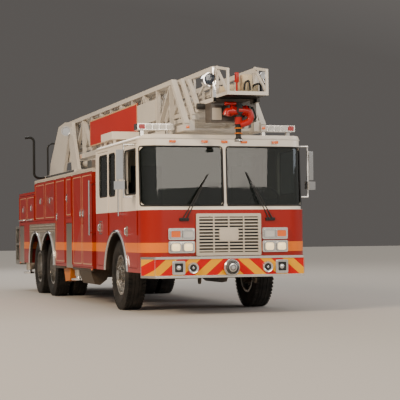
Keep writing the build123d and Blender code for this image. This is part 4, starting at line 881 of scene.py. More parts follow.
@dataclass
class Wheels:
    """Tyres with ribs and shoulder blocks, bright rims and wheel nuts."""

    radius: float = 0.535
    groove: float = 0.011
    shoulder_blocks: int = 54
    block: Point = (0.05, 0.036, 0.014)
    block_inset: float = 0.018
    block_turn: float = 9.0
    rim_radius: float = 0.311
    nuts: int = 10
    nut_ring: float = 0.135
    front: AxleWheels = AxleWheels((1.02,), 0.315, 1.132)
    rear: AxleWheels = AxleWheels((0.69, 1.03), 0.295, 0.892)
    rear_stations: tuple[float, float] = (5.43, 6.8)

    def build(self) -> None:
        """Dresses the two front wheels and the four twin wheels."""
        for side in Side:
            self.dress(f"wheel_front_{side.word}", side, 0.0, self.front)
            for number, station in enumerate(self.rear_stations, start=1):
                self.dress(f"wheel_rear_{number}_{side.word}", side, station, self.rear)

    def tyre_profile(self, width: float) -> list[tuple[float, float]]:
        """A tyre's section, from bead to bead, as distance from its middle and radius."""
        half, top, low = width / 2, self.radius, self.radius - self.groove
        right = [
            (half - 0.045, 0.288), (half - 0.043, 0.312), (half - 0.03, 0.322), (half - 0.016, 0.35),
            (half - 0.012, 0.352), (half - 0.003, 0.385), (half, 0.411), (half - 0.001, 0.43),
            (half - 0.005, 0.432), (half - 0.009, 0.47), (half - 0.02, 0.5), (half - 0.028, low - 0.006),
            (half - 0.06, low), (0.074, low), (0.072, top - 0.001), (0.038, top), (0.036, low), (0.031, low),
            (0.029, top - 0.001), (0.0, top),
        ]
        return right + [(-x, r) for x, r in reversed(right[:-1])]

    def dress(self, node: str, side: Side, station: float, axle: AxleWheels) -> None:
        """Makes one wheel's tyres and fits its rim and nuts.

        Args:
            node: the wheel's CAD node.
            side: the vehicle's side.
            station: its axle's station.
            axle: what its axle's wheels share.
        """
        hub = Vector((0, at(station), self.radius))
        out = side.out(1.0)
        half = Vector(self.block) / 2
        shape = Shape()
        for x in axle.tyre_xs:
            middle = hub + out * x
            shape.lathe(self.tyre_profile(axle.width), middle, out, 96)
            for edge in (-1, 1):
                reach = axle.width / 2 - self.block_inset - half.x
                centre = middle + Vector((edge * reach, 0, self.radius - half.z - 0.001))
                turn = Matrix.Rotation(edge * radians(self.block_turn), 4, "Z")
                block = shape.box(centre - half, centre + half, turn=turn)
                shape.ring_of(block, middle, self.shoulder_blocks)
        tyre = shape.finish(f"{node}_tyres", TYRE_RUBBER, body=NODE_BODY[node], smooth=32.0)
        inside = self.rim_radius
        rim = skin_of(
            node, [WHEEL_ALLOY], keep=lambda co: hypot(co.y - hub.y, co.z - hub.z) < inside, edge=0.0015,
        )
        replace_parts(tyre, node)
        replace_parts(rim, node)
        shape = Shape()
        face = hub + out * axle.disc_x + Vector((0, 0, self.nut_ring))
        shape.ring_of(shape.rod(face - out * 0.012, face + out * 0.03, 0.0175, 6), hub, self.nuts)
        shape.finish(f"{node}_nuts", CHROME, body=NODE_BODY[node])


@dataclass
class Windscreen:
    """Rubber gaskets round the two panes, the wipers, the roof's five amber clearance lamps and its rail."""

    corner: float = 0.25
    straight: float = 0.98
    low: tuple[float, float] = (1.56, -1.69)  # height and station of the panes' lower edge
    high: tuple[float, float] = (2.41, -1.64)  # the same of their upper edge
    post: float = 0.03
    outer: float = 1.225
    gasket: float = 0.013
    lamp_xs: tuple[float, ...] = (-0.78, -0.3, 0.0, 0.3, 0.78)
    # Pivot and tip, as distances from the vehicle's middle, and the tip's height.
    wiper_spans: tuple[tuple[float, float, float], ...] = ((-0.66, -0.37, 1.82), (0.64, 0.42, 1.84))
    rail_z: float = 2.525

    def on_skin(self, x: float, z: float, lift: float = 0.0) -> Vector:
        """A place on the cab's front, round its corners too.

        Args:
            x: distance from the vehicle's middle.
            z: height.
            lift: distance out of the skin.

        Returns:
            The place.
        """
        share = (z - self.low[0]) / (self.high[0] - self.low[0])
        front = self.low[1] + share * (self.high[1] - self.low[1])
        middle = SKIN_X - self.corner
        if abs(x) <= middle:
            return spot(x, front, z) - Vector((0, lift, 0))
        angle = asin(min(1.0, (abs(x) - middle) / self.corner))
        reach = self.corner + lift
        across = middle + reach * sin(angle)
        return spot(across if x > 0 else -across, front + self.corner - reach * cos(angle), z)

    def build(self) -> None:
        """Makes the gaskets, wipers, lamps and rail."""
        shape, span = Shape(), self.outer - self.straight
        xs = [self.post, 0.5, self.straight] + [self.straight + span * step / 6 for step in range(1, 7)]
        for sign in (-1, 1):
            foot = [self.on_skin(sign * x, self.low[0], 0.002) for x in xs]
            head = [self.on_skin(sign * x, self.high[0], 0.002) for x in reversed(xs)]
            shape.tube(foot + head + foot[:2], self.gasket, 0.05, 8, 5)
        shape.finish("windscreen_gaskets", SEAL_RUBBER)
        shape = Shape()
        for pivot, tip, height in self.wiper_spans:
            self.add_wiper(shape, spot(pivot, -1.8, 1.36), self.on_skin(tip, height, 0.04))
        shape.finish("wipers", SEAL_RUBBER)
        shape = Shape()
        for x in self.lamp_xs:
            shape.box(spot(x - 0.05, -1.684, 2.457), spot(x + 0.05, -1.66, 2.499), 0.012)
        shape.finish("clearance_lamp_lenses", AMBER_LENS)
        shape = Shape()
        xs = [0.0, 0.6, self.straight] + [self.straight + 0.26 * step / 8 for step in range(1, 9)]
        left = [self.on_skin(x, self.rail_z, 0.006) for x in xs] + [spot(1.246, 1.24, self.rail_z)]
        right = [Vector((-place.x, place.y, place.z)) for place in reversed(left)]
        shape.tube(right + left[1:], 0.012, 0.02, 8, 2)
        shape.finish("roof_drip_rail", ROOF_WHITE)

    @staticmethod
    def add_wiper(shape: Shape, base: Vector, end: Vector) -> None:
        """Adds a wiper: a pivot box, two arms side by side, and the blade at their end."""
        shape.box(base + Vector((-0.07, -0.03, -0.025)), base + Vector((0.07, 0.004, 0.02)), 0.006)
        for offset in (-0.028, 0.028):
            foot, head = base + Vector((offset, -0.035, 0)), end + Vector((offset * 0.4, -0.01, 0))
            shape.rod(foot, head, 0.009, 8, 0.006)
        way = (end - base).normalized()
        foot, head = end - way * 0.28 + Vector((0, 0.012, 0)), end + way * 0.22 + Vector((0, 0.02, 0))
        shape.rod(foot, head, 0.009, 8)


@dataclass
class FrontEnd:
    """Grille backing and plate, headlamps, and the bumper's stripes, siren, horns and lamps."""

    cab_front: float = -1.8
    bumper_front: float = -1.89
    lamp_x: float = 0.705
    lamp_gap: float = 0.092
    # A row's height above the ground, and its lamps' width, height and corner radius.
    lamp_rows: tuple[Point, ...] = ((0.965, 0.15, 0.128, 0.03), (1.15, 0.158, 0.112, 0.012))
    sheet: tuple[float, float] = (0.565, 0.795)  # heights of its edges
    siren_z: float = 0.67
    horn_x: float = 0.56
    square_lamp: tuple[float, float] = (0.775, 0.675)  # distance from the middle and height

    def build(self) -> None:
        """Makes the cab's front and the bumper's pieces."""
        self.build_grille()
        self.build_headlamps()
        self.build_sheet()
        self.build_siren()
        self.build_bumper_lamps()

    def build_grille(self) -> None:
        """A black box behind the bars, painted shade in the grille's opening, and a blank plate at their
        middle.
        """
        front = at(self.cab_front)
        shape = Shape()
        # Painted shade: a black box fills the grille's opening behind the bars.
        shape.box((-0.45, front - 0.012, 0.885), (0.45, front + 0.004, 1.395), 0.002)
        shape.finish("grille_core", SEAL_RUBBER)
        shape = Shape()
        shape.plate(facing_front((0, front - 0.036, 1.14), 0.28, 0.16, 0.025), (0, -0.006, 0))
        shape.finish("grille_blank_plate", BRUSHED)

    def build_headlamps(self) -> None:
        """Two lit round-cornered headlamps below an amber and a clear lamp, at each side."""
        glass, amber, clear, frames = Shape(), Shape(), Shape(), Shape()
        face = at(self.cab_front) - 0.046
        bulb = [(0.0, 0.0), (0.012, 0.0), (0.009, 0.03), (0.003, 0.047), (0.0, 0.05)]
        for side in Side:
            for row, (z, width, height, corner) in enumerate(self.lamp_rows):
                for offset in (-self.lamp_gap, self.lamp_gap):
                    x = side.value * (self.lamp_x + offset)
                    inner = facing_front((x, face, z), width - 0.022, height - 0.022, corner)
                    outer = facing_front((x, face, z), width + 0.004, height + 0.004, corner)
                    lens = glass if row == 0 else (amber if offset > 0 else clear)
                    lens.plate(inner, (0, -0.005, 0))
                    frames.rim(outer, inner, (0, -0.011, 0))
                    if row == 0:
                        glass.lathe(bulb, (x, face - 0.004, z), AHEAD, 28)
        glass.finish("headlamp_glasses", HEADLAMP_LENS)
        amber.finish("turn_lamp_lenses", AMBER_LENS)
        clear.finish("warning_lamp_lenses", CLEAR_LENS)
        frames.finish("lamp_bezels", CHROME)

    def build_sheet(self) -> None:
        """The striped sheeting over the bumper's face and its two slanted ends."""
        low, high = self.sheet
        front = at(self.bumper_front)
        shape = Shape()
        shape.box((-1.115, front - 0.003, low), (1.115, front + 0.002, high))
        for side in Side:
            inner, outer = (side.value * 1.12, -1.8925), (side.value * SKIN_X, -1.6025)
            corners = [spot(*inner, low), spot(*outer, low), spot(*outer, high), spot(*inner, high)]
            shape.plate(corners, (side.value * 0.0025, -0.001, 0))
        shape.finish("bumper_chevron_sheet", CHEVRONS)

    def build_siren(self) -> None:
        """The siren's dished mesh under spokes and rings, and a horn's bell at each side."""
        front, z = at(self.bumper_front), self.siren_z
        mesh, shape = Shape(), Shape()
        dish = [(0.075, 0.1), (0.094, 0.098), (0.1145, 0.07), (0.1245, 0.036), (0.1245, 0.0)]
        mesh.lathe(dish, (0, front, z), AHEAD, 40)
        mesh.finish("siren_mesh", CAST)
        boss = [(0.0, 0.0), (0.014, 0.0), (0.012, 0.022), (0.0, 0.026)]
        shape.lathe(boss, (0, front - 0.123, z), AHEAD, 24)
        for turn in range(18):
            way = Vector((cos(turn * pi / 9), 0, sin(turn * pi / 9)))
            foot, head = Vector((0, front - 0.121, z)), Vector((0, front - 0.088, z))
            shape.rod(foot + way * 0.03, head + way * 0.1, 0.0035, 6)
        for radius, lift in ((0.03, 0.123), (0.062, 0.113), (0.102, 0.089)):
            steps = ((-0.004, -0.004), (0.003, -0.003), (0.003, 0.003), (-0.006, 0.005), (-0.004, -0.004))
            shape.lathe([(lift + a, radius + r) for a, r in steps], (0, front, z), AHEAD, 40)
        bell = [
            (0.0, 0.05), (0.024, 0.05), (0.034, 0.062), (0.036, 0.074), (0.026, 0.08), (0.0, 0.08), (0.0, 0.05),
        ]
        for side in Side:
            shape.lathe(bell, (side.value * self.horn_x, front, z), AHEAD, 32)
        shape.finish("siren_grille_and_horn_bells", CHROME)

    def build_bumper_lamps(self) -> None:
        """A square lamp at each side, and each horn's throat as a black cylinder, painted shade in its hollow,
        with its pin.
        """
        front = at(self.bumper_front)
        bright, dark = Shape(), Shape()
        for side in Side:
            lamp = (side.value * self.square_lamp[0], front - 0.022, self.square_lamp[1])
            horn = (side.value * self.horn_x, front, self.siren_z)
            outer, inner = facing_front(lamp, 0.165, 0.17, 0.014), facing_front(lamp, 0.12, 0.125, 0.01)
            dark.plate(inner, (0, -0.002, 0))
            bright.rim(outer, inner, (0, -0.014, 0))
            bright.lathe([(0.002, 0.0), (0.014, 0.0), (0.01, 0.024), (0.002, 0.034)], lamp, AHEAD, 20)
            # Painted shade: a black cylinder fills the horn's hollow throat.
            dark.lathe([(0.0, 0.0), (0.026, 0.0), (0.026, 0.051), (0.0, 0.051)], horn, AHEAD, 24)
            bright.lathe([(0.02, 0.0), (0.034, 0.0), (0.032, 0.016), (0.02, 0.022)], horn, AHEAD, 20)
        bright.finish("bumper_lamp_frames", CHROME)
        dark.finish("bumper_lamp_cores", SEAL_RUBBER)


@dataclass
class RoofLights:
    """Clear and coloured modules along the two light bars."""

    reach: tuple[float, float] = (0.68, 1.2)
    faces: tuple[tuple[float, float], ...] = ((-1.36, -0.012), (-1.16, 0.012))  # station and push
    heights: tuple[float, float] = (2.675, 2.745)
    modules: int = 5

    def build(self) -> None:
        """Makes the front and rear rows of modules on each bar, the outermost ones red."""
        low, high = self.heights
        pitch = (self.reach[1] - self.reach[0]) / self.modules
        clear, red = Shape(), Shape()
        for side in Side:
            for number in range(self.modules):
                x = side.value * (self.reach[0] + (number + 0.5) * pitch)
                lens = red if number == self.modules - 1 else clear
                for station, push in self.faces:
                    centre = spot(x, station, (low + high) / 2)
                    lens.plate(facing_front(centre, pitch * 0.86, high - low, 0.012, 3), (0, push, 0))
        clear.finish("light_bar_clear_modules", CLEAR_LENS)
        red.finish("light_bar_red_modules", RED_LENS)


@dataclass
class CabSides:
    """Window gaskets, door handles, panel frames and mirror glasses of the cab."""

    # The door that carries it, and its front, rear, lower and upper edges.
    windows: tuple[tuple[str, float, float, float, float], ...] = (
        ("front", -1.37, -0.68, 1.735, 2.395), ("crew", 0.44, 1.0, 1.75, 2.413),
        ("", -0.075, 0.335, 1.745, 2.41),
    )
    handles: tuple[tuple[str, float, float], ...] = (("front", -0.79, 1.2), ("crew", 0.965, 1.27))
    panel: tuple[float, float] = (0.92, 1.27)  # station and height
    mirror_place: tuple[float, float] = (1.465, -1.315)  # distance from the middle and station
    mirror_turn: float = 35.0

    def build(self) -> None:
        """Makes each side's trim, on the doors that carry it."""
        for side in Side:
            for door, front, rear, low, high in self.windows:
                self.gasket(side, door, rear - front, high - low, ((front + rear) / 2, (low + high) / 2))
            for door, station, height in self.handles:
                self.handle(side, door, station, height)
            self.panel_frame(side)
            self.mirror(side)

    def gasket(self, side: Side, door: str, width: float, height: float, middle: tuple[float, float]) -> None:
        """A rubber gasket round one side window, which is fixed where no door carries it."""
        centre = spot(side.value * (SKIN_X - 0.006), *middle)
        inner = facing_side(centre, width - 0.034, height - 0.034, 0.055)
        outer = facing_side(centre, width + 0.012, height + 0.012, 0.066)
        shape = Shape()
        shape.rim(outer, inner, side.out(0.009))
        body = f"cab_door_{door}_{side.word}" if door else "chassis"
        shape.finish(f"{door or 'fixed'}_window_gasket_{side.word}", SEAL_RUBBER, body=body)

    def handle(self, side: Side, door: str, station: float, height: float) -> None:
        """A chrome pull handle and a round lock on a brushed plate."""
        body = f"cab_door_{door}_{side.word}"
        place = spot(side.value * SKIN_X, station, height)
        shape = Shape()
        shape.plate(facing_side(place, 0.11, 0.15, 0.02), side.out(0.004))
        shape.finish(f"{door}_door_handle_plate_{side.word}", BRUSHED, body=body)
        shape = Shape()
        grip = ((0.0, -0.035, 0.045), (0.042, -0.03, 0.045), (0.042, -0.03, -0.05), (0.0, -0.035, -0.05))
        shape.tube([place + Vector((side.value * out, y, z)) for out, y, z in grip], 0.009, 0.02, 10)
        lock = place + Vector((0, 0.03, 0))
        shape.rod(lock, lock + side.out(0.014), 0.014)
        shape.finish(f"{door}_door_handle_{side.word}", CHROME, body=body)

    def panel_frame(self, side: Side) -> None:
        """A bright frame round a blank panel on the crew door."""
        place = spot(side.value * SKIN_X, *self.panel)
        outer, inner = facing_side(place, 0.2, 0.21, 0.015), facing_side(place, 0.17, 0.18, 0.01)
        shape = Shape()
        shape.rim(outer, inner, side.out(0.005))
        shape.finish(f"crew_door_panel_frame_{side.word}", POLISHED, body=f"cab_door_crew_{side.word}")

    def mirror(self, side: Side) -> None:
        """Silvered glasses that face rearwards in the mirror heads."""
        turn = Matrix.Rotation(radians(self.mirror_turn * side.value), 4, "Z")
        x, station = self.mirror_place
        shape = Shape()
        for width, depth, height, z in ((0.11, 0.05, 0.43, 2.16), (0.165, 0.085, 0.12, 1.86)):
            place = Matrix.Translation(spot(side.value * x, station, z)) @ turn
            glass = facing_front((0, depth / 2, 0), width - 0.016, height - 0.016, 0.012)
            shape.plate([place @ corner for corner in glass], turn @ Vector((0, 0.003, 0)))
        shape.finish(f"mirror_glasses_{side.word}", MIRROR_GLASS, body=f"cab_door_front_{side.word}")


@dataclass
class ArchMouldings:
    """Half-round chrome beads along the front arches and the rear double arches."""

    bead: float = 0.024
    reach: float = 1.247
    front_arch: tuple[float, float, float] = (-0.11, 0.465, 0.738)  # station, height and radius
    rear_stations: tuple[float, float] = (5.43, 6.8)
    rear_top: float = 1.224
    rear_radius: float = 0.624
    cusp_z: float = 0.884
    low: float = 0.61

    def build(self) -> None:
        """Draws a bead along each arch."""
        for side in Side:
            shape = Shape()
            for route in (self.front_route(), self.rear_route()):
                shape.tube([spot(side.value * self.reach, *place) for place in route], self.bead, 0.0, 10)
            shape.finish(f"arch_mouldings_{side.word}", CHROME)

    def front_route(self) -> list[tuple[float, float]]:
        """Stations and heights along a front arch."""
        station, z, radius = self.front_arch
        start = asin((self.low - z) / radius)
        steps = [start + (pi - 2 * start) * number / 36 for number in range(37)]
        return [(station - radius * cos(angle), z + radius * sin(angle)) for angle in steps]

    def rear_route(self) -> list[tuple[float, float]]:
        """Stations and heights along the rear double arch, over its cusp."""
        first, second = self.rear_stations
        half, drop = (second - first) / 2, self.rear_top - self.cusp_z
        flat = (half ** 2 + drop ** 2) / (2 * drop)
        spring = self.rear_top - self.rear_radius
        climb = [pi - (pi / 2) * number / 16 for number in range(17)]
        ahead = [(first + self.rear_radius * cos(a), spring + self.rear_radius * sin(a)) for a in climb]
        over = [asin(half / flat) * number / 12 for number in range(1, 13)]
        ahead += [(first + flat * sin(angle), self.rear_top - flat * (1 - cos(angle))) for angle in over]
        return ahead + [(first + second - station, z) for station, z in reversed(ahead[:-1])]


@dataclass(frozen=True)
class Locker:
    """One locker door: its name, edges, heights and the place of its handle."""

    name: str
    front: float
    rear: float
    low: float
    high: float
    handle: tuple[float, float]


LOCKERS = (
    Locker("a1", 1.54, 2.346, 0.62, 2.2, (2.24, 1.52)),
    Locker("a2", 2.354, 3.12, 0.62, 2.2, (2.46, 1.52)),
    Locker("f", 3.22, 3.7, 1.47, 2.2, (3.61, 1.82)),
    Locker("b", 3.8, 4.66, 0.64, 2.2, (4.54, 1.5)),
    Locker("c1", 4.72, 5.71, 1.45, 2.2, (5.2, 1.82)),
    Locker("c2", 5.78, 6.77, 1.45, 2.2, (6.2, 1.83)),
    Locker("d1", 6.89, 7.74, 1.45, 1.99, (7.25, 1.72)),
    Locker("d2", 7.79, 8.65, 1.45, 1.99, (8.2, 1.7)),
)


@dataclass
class BodySides:
    """Gilt lines, handles, louvre hoods, grab bars, marker lamps and sills of the body's sides."""

    line: float = 0.011
    line_inset: float = 0.045
    louvres: tuple[float, float, float, float] = (4.72, 7.45, 1.215, 1.375)  # front, rear, low, high
    columns: int = 26
    rows: int = 3
    marker_stations: tuple[float, float] = (1.58, 8.6)
    sills: tuple[tuple[float, float], ...] = ((1.54, 3.12), (3.8, 4.66))

    def build(self) -> None:
        """Dresses both sides."""
        for side in Side:
            for locker in LOCKERS:
                self.gild(side, locker)
                self.handle(side, locker)
            self.fixed_trim(side)

    def outline(self, side: Side, locker: Locker, inset: float) -> list[Vector]:
        """A rounded outline that lies on a door, drawn in from its edges."""
        middle = spot(side.value * SKIN_X, (locker.front + locker.rear) / 2, (locker.high + locker.low) / 2)
        width, height = locker.rear - locker.front - 2 * inset, locker.high - locker.low - 2 * inset
        return facing_side(middle, width, height, 0.03, 3)

    def gild(self, side: Side, locker: Locker) -> None:
        """The gilt line that runs round inside a door's edge."""
        outer = self.outline(side, locker, self.line_inset)
        inner = self.outline(side, locker, self.line_inset + self.line)
        shape = Shape()
        shape.rim(outer, inner, side.out(0.0015))
        name = f"locker_{locker.name}_gilt_line_{side.word}"
        shape.finish(name, GOLD_LEAF, body=f"door_{locker.name}_{side.word}")

    def handle(self, side: Side, locker: Locker) -> None:
        """A chrome folding handle: an oval pan, its raised lip and the D ring."""
        place = spot(side.value * SKIN_X, *locker.handle)
        pan = facing_side(place, 0.085, 0.14, 0.042, 8)
        lip = [place + Vector((0, (p - place).y * 0.82, (p - place).z * 0.88)) for p in pan]
        shape = Shape()
        shape.plate(pan, side.out(0.003))
        shape.rim(pan, lip, side.out(0.007))
        ring = ((-0.022, 0.035), (0.022, 0.035), (0.022, -0.04), (-0.022, -0.04), (-0.022, 0.035), (0.0, 0.035))
        shape.tube([place + Vector((side.value * 0.011, u, v)) for u, v in ring], 0.005, 0.02, 8, 4)
        name = f"locker_{locker.name}_handle_{side.word}"
        shape.finish(name, CHROME, body=f"door_{locker.name}_{side.word}")

    def fixed_trim(self, side: Side) -> None:
        """Louvre hoods, the D doors' grab bars, marker lamps and sills."""
        x = side.value * SKIN_X
        out = side.out(1.0)
        front, rear, low, high = self.louvres
        pitch = (rear - front) / self.columns
        shape = Shape()
        for column in range(self.columns):
            for row in range(self.rows):
                z = low + (row + 0.5) * (high - low) / self.rows
                middle, half = spot(x, front + (column + 0.5) * pitch, z), Vector((0, pitch * 0.4, 0))
                inner = middle - half - out * 0.002 - Vector((0, 0, 0.012))
                shape.box(inner, middle + half + out * 0.012 + Vector((0, 0, 0.01)), 0.005, 1)
        shape.finish(f"louvre_hoods_{side.word}", BRUSHED)
        for locker in (found for found in LOCKERS if found.name.startswith("d")):
            z = locker.low + 0.035
            ends = spot(x, locker.front + 0.14, z), spot(x, locker.rear - 0.14, z)
            shape = Shape()
            shape.tube([ends[0], ends[0] + out * 0.045, ends[1] + out * 0.045, ends[1]], 0.012, 0.03)
            name = f"locker_{locker.name}_grab_bar_{side.word}"
            shape.finish(name, CHROME, body=f"door_{locker.name}_{side.word}")
        shape = Shape()
        for station in self.marker_stations:
            shape.box(spot(x, station - 0.03, 0.575), spot(x, station + 0.03, 0.6) + out * 0.012, 0.004)
        shape.finish(f"side_marker_lenses_{side.word}", AMBER_LENS)
        shape = Shape()
        for first, last in self.sills:
            shape.box(spot(x, first, 0.555) - out * 0.02, spot(x, last, 0.6) - out * 0.002, 0.003)
        shape.finish(f"door_sill_rails_{side.word}", FRAME_PAINT)


@dataclass
class Ladder:
    """Sign boards, marks and cables that ride on the ladder's sections."""

    sign: tuple[float, float, float, float] = (0.9, 4.4, 2.8, 3.28)  # front, rear, low, high
    border: float = 0.022
    base_x: float = 0.62
    cable_x: float = 0.4836
    mark_stations: tuple[float, float] = (5.25, 5.45)

    def build(self) -> None:
        """Makes both blank sign boards, the rail marks and the hoist cables."""
        for side in Side:
            x = side.value * self.base_x
            shape = Shape()
            shape.plate(self.board(x, 0.0), side.out(0.012))
            face = x + side.value * 0.012
            edges = self.board(face, 0.0), self.board(face, self.border)
            shape.rim(*edges, side.out(0.0015), coat=1)
            shape.finish(f"ladder_blank_sign_{side.word}", SIGN_RED, GOLD_LEAF, body="ladder_base")
            shape = Shape()
            for station in self.mark_stations:
                ahead, behind = station - 0.03, station + 0.03
                shape.box(spot(x, ahead, 2.64), spot(x + side.value * 0.0015, behind, 2.71))
            shape.finish(f"ladder_rail_marks_{side.word}", AMBER_PAINT, body="ladder_base")
            shape = Shape()
            x = side.value * self.cable_x
            shape.rod(spot(x, -1.1, 2.86), spot(x, 6.3, 2.86), 0.008, 8)
            shape.finish(f"hoist_cable_{side.word}", CAST, body="ladder_mid")

    def board(self, x: float, inset: float) -> list[Vector]:
        """The four corners of a sign board, drawn in from its edges."""
        front, rear, low, high = (a + b * inset for a, b in zip(self.sign, (1, -1, 1, -1)))
        return [spot(x, front, low), spot(x, rear, low), spot(x, rear, high), spot(x, front, high)]


@dataclass
class LadderTip:
    """The working platform's boxes, spotlight and hoses, the monitor's elbows, the roller and lamps."""

    floor_z: float = 3.1
    monitor_y: float = at(-2.3)

    def build(self) -> None:
        """Makes the pieces on the fly section, the monitor and the other sections' ends."""
        self.build_boxes()
        self.build_head_box()
        self.build_spotlight()
        self.build_monitor()
        self.build_end()

    def build_boxes(self) -> None:
        """Three equipment boxes on the platform, a valve handle, two hoses and a work lamp."""
        floor = self.floor_z
        shape = Shape()
        shape.box(spot(-0.05, -2.64, floor), spot(0.1, -2.32, 3.345), 0.018)
        shape.box(spot(-0.28, -2.6, floor), spot(-0.15, -2.3, 3.2), 0.018)
        shape.box(spot(0.16, -2.45, floor), spot(0.26, -2.3, 3.24), 0.018)
        shape.finish("platform_equipment_boxes", CREAM_BOX, body="ladder_fly")
        shape = Shape()
        shape.box(spot(-0.145, -2.62, 3.23), spot(-0.09, -2.57, 3.37), 0.012)
        shape.rod(spot(-0.118, -2.595, floor), spot(-0.118, -2.595, 3.24), 0.014)
        shape.finish("platform_valve_handle", SIGN_RED, body="ladder_fly")
        shape = Shape()
        left = ((-0.03, -2.66, floor + 0.02), (-0.03, -2.68, 3.22), (0.03, -2.68, 3.26), (0.05, -2.68, 3.12))
        right = ((0.12, -2.5, floor + 0.02), (0.13, -2.56, 3.2), (0.24, -2.56, 3.24), (0.27, -2.5, 3.12))
        for bend, route in ((0.05, left), (0.06, right)):
            shape.tube([spot(*place) for place in route], 0.014, bend)
        shape.finish("platform_hoses", SEAL_RUBBER, body="ladder_fly")
        shape = Shape()
        shell = [(-0.06, 0.0), (-0.05, 0.03), (0.0, 0.05), (0.012, 0.05), (0.008, 0.0)]
        shape.lathe(shell, spot(0.27, -2.6, 3.34), (0.2, -1, 0), 24)
        shape.rod(spot(0.27, -2.57, 3.3), spot(0.3, -2.57, 3.24), 0.01)
        shape.finish("platform_work_lamp", CHROME, body="ladder_fly")

    def build_head_box(self) -> None:
        """The head box's blank plate and hose loop."""
        shape = Shape()
        shape.plate(facing_front(spot(-0.25, -2.1, 2.84), 0.14, 0.17, 0.01, 2), (0, -0.004, 0))
        shape.finish("head_box_blank_plate", PALE_PLATE, body="ladder_fly")
        shape = Shape()
        loop = (
            (0.25, -2.1, 2.92), (0.25, -2.2, 2.94), (0.3, -2.22, 2.78), (0.3, -2.12, 2.76), (0.3, -2.1, 2.78),
        )
        shape.tube([spot(*place) for place in loop], 0.012)
        shape.finish("head_box_hose_loop", SEAL_RUBBER, body="ladder_fly")

    def build_spotlight(self) -> None:
        """A chrome spotlight on the platform's side guard, with a blue-tinted glass."""
        centre = spot(-0.385, -2.21, 3.31)
        shape = Shape()
        shell = [
            (-0.095, 0.0), (-0.09, 0.03), (-0.06, 0.07), (0.0, 0.095), (0.012, 0.1), (0.02, 0.1), (0.02, 0.086),
            (0.004, 0.08),
        ]
        shape.lathe(shell, centre, AHEAD, 32)
        shape.rod(centre + Vector((0.09, 0.03, 0)), centre + Vector((0.085, 0.03, 0)), 0.014)
        shape.finish("platform_spotlight", CHROME, body="ladder_fly")
        shape = Shape()
        glass = [(0.004, 0.0), (0.014, 0.0), (0.011, 0.05), (0.004, 0.082), (0.002, 0.082), (0.004, 0.0)]
        shape.lathe(glass, centre, AHEAD, 28)
        shape.finish("platform_spotlight_glass", BLUE_GLASS, body="ladder_fly")

    def build_monitor(self) -> None:
        """Orange rings on the nozzle, its pale end flange, the black core and the red elbows."""
        down, y = (0, 0, -1), self.monitor_y
        shape = Shape()
        band = [(0.0, 0.04), (0.0, 0.056), (0.014, 0.056), (0.014, 0.04), (0.0, 0.04)]
        for z in (2.63, 2.56):
            shape.lathe(band, (0, y, z), down, 32)
        shape.finish("nozzle_rings", AMBER_PAINT, body="monitor")
        shape = Shape()
        flange = [(0.0, 0.03), (0.0, 0.059), (0.022, 0.059), (0.026, 0.053), (0.026, 0.03), (0.0, 0.03)]
        shape.lathe(flange, (0, y, 2.468), down, 36)
        shape.finish("nozzle_flange", POLISHED, body="monitor")
        shape = Shape()
        for end in (-1, 1):
            cap = [(0.0, 0.0), (0.006, 0.0), (0.006, 0.04), (0.0, 0.046)]
            shape.lathe(cap, (end * 0.136, y, 2.87), (end, 0, 0), 24)
        shape.rod((0, y, 2.87), (0, y - 0.09, 2.87), 0.052, 24)
        shape.rod((0, y, 2.97), (0, y, 2.78), 0.06, 24)
        shape.finish("monitor_black_core", SEAL_RUBBER, body="monitor")
        shape = Shape()
        front = y - 0.05
        lower = [(-0.02, front, 2.87), (0.16, front, 2.87), (0.17, front, 2.72), (0.02, y - 0.02, 2.67)]
        shape.tube(lower, 0.046, 0.1, 20, 10)
        upper = [(0.0, y - 0.03, 2.86), (-0.17, y - 0.03, 2.86), (-0.19, y - 0.03, 2.8)]
        shape.tube(upper, 0.05, 0.04, 20, 8)
        shape.rod((-0.2, y - 0.02, 2.965), (-0.04, y - 0.02, 2.965), 0.026, 20)
        shape.finish("monitor_elbows", MONITOR_RED, body="monitor")

    @staticmethod
    def build_end() -> None:
        """The guide roller and the lamps at the sections' ends."""
        shape = Shape()
        shape.rod(spot(-0.45, -1.8, 2.97), spot(-0.32, -1.8, 2.97), 0.045, 24)
        shape.finish("ladder_guide_roller", CAST, body="ladder_upper")
        shape = Shape()
        for side in Side:
            low, high = spot(side.value * 0.55, -1.755, 2.66), spot(side.value * 0.6, -1.748, 2.7)
            shape.box(low, high, 0.003)
        shape.finish("ladder_end_lamps", AMBER_LENS, body="ladder_base")


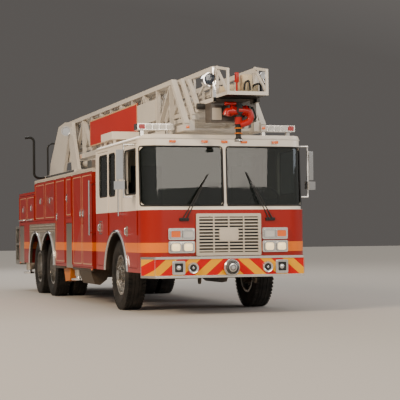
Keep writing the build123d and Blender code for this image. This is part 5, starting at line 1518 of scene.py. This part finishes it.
@dataclass
class TurntableTrim:
    """Floodlight, control console and deck edge strips on the turntable."""

    deck_z: float = 2.42
    flood_place: Point = (-0.765, 5.95, 3.21)
    knob_rows: int = 4
    knob_columns: int = 3

    def build(self) -> None:
        """Makes the pieces that turn with the ladder's base."""
        centre = spot(*self.flood_place)
        ball = [
            (0.07, 0.0), (0.068, 0.03), (0.05, 0.062), (0.0, 0.088), (-0.04, 0.092), (-0.052, 0.092),
            (-0.052, 0.078), (-0.03, 0.07), (-0.03, 0.0),
        ]
        shape = Shape()
        shape.lathe(ball, centre, (0.3, 1, 0), 32)
        shape.rod(centre, centre + Vector((0.065, 0.04, 0)), 0.014)
        shape.finish("pedestal_floodlight", CHROME, body="turntable")
        shape = Shape()
        shape.box(spot(0.25, 7.75, self.deck_z), spot(0.6, 8.1, 3.3), 0.03)
        shape.finish("control_console", POLISHED, body="turntable")
        shape = Shape()
        for row in range(self.knob_rows):
            for column in range(self.knob_columns):
                foot = spot(0.31 + column * 0.11, 8.1, 3.02 + row * 0.055)
                shape.rod(foot, foot + Vector((0, 0.025, 0)), 0.012, 12)
        shape.finish("control_knobs", SEAL_RUBBER, body="turntable")
        shape = Shape()
        for side in Side:
            shape.box(spot(side.value * 0.77, 5.2, 2.365), spot(side.value * 0.774, 8.1, 2.415))
        shape.finish("deck_edge_strips", POLISHED, body="turntable")


@dataclass
class RearEnd:
    """Tail lamp lenses on the body's rear."""

    lamp_x: float = 1.1
    rear: float = 9.2
    red_zs: tuple[float, ...] = (0.7, 0.83)
    amber_zs: tuple[float, ...] = (0.96,)

    def build(self) -> None:
        """Makes the lamps' lenses."""
        dome = [(0.0, 0.0), (0.006, 0.0), (0.004, 0.03), (0.0, 0.045)]
        rows = (("red", self.red_zs, RED_LENS), ("amber", self.amber_zs, AMBER_LENS))
        for name, heights, coat in rows:
            shape = Shape()
            for side in Side:
                for z in heights:
                    shape.lathe(dome, spot(side.value * self.lamp_x, self.rear - 0.006, z), (0, 1, 0), 24)
            shape.finish(f"tail_lamp_lenses_{name}", coat)


def main() -> None:
    """Builds the studio and every sub-assembly, in order."""
    logging.basicConfig(level=logging.INFO, format="%(name)s: %(message)s")
    Studio().build()
    assemblies = (
        CadSkins(), Wheels(), Windscreen(), FrontEnd(), RoofLights(), CabSides(), ArchMouldings(), BodySides(),
        Ladder(), LadderTip(), TurntableTrim(), RearEnd(),
    )
    for assembly in assemblies:
        assembly.build()
        log.info("finished %s", type(assembly).__name__)


if __name__ == "__main__":
    main()
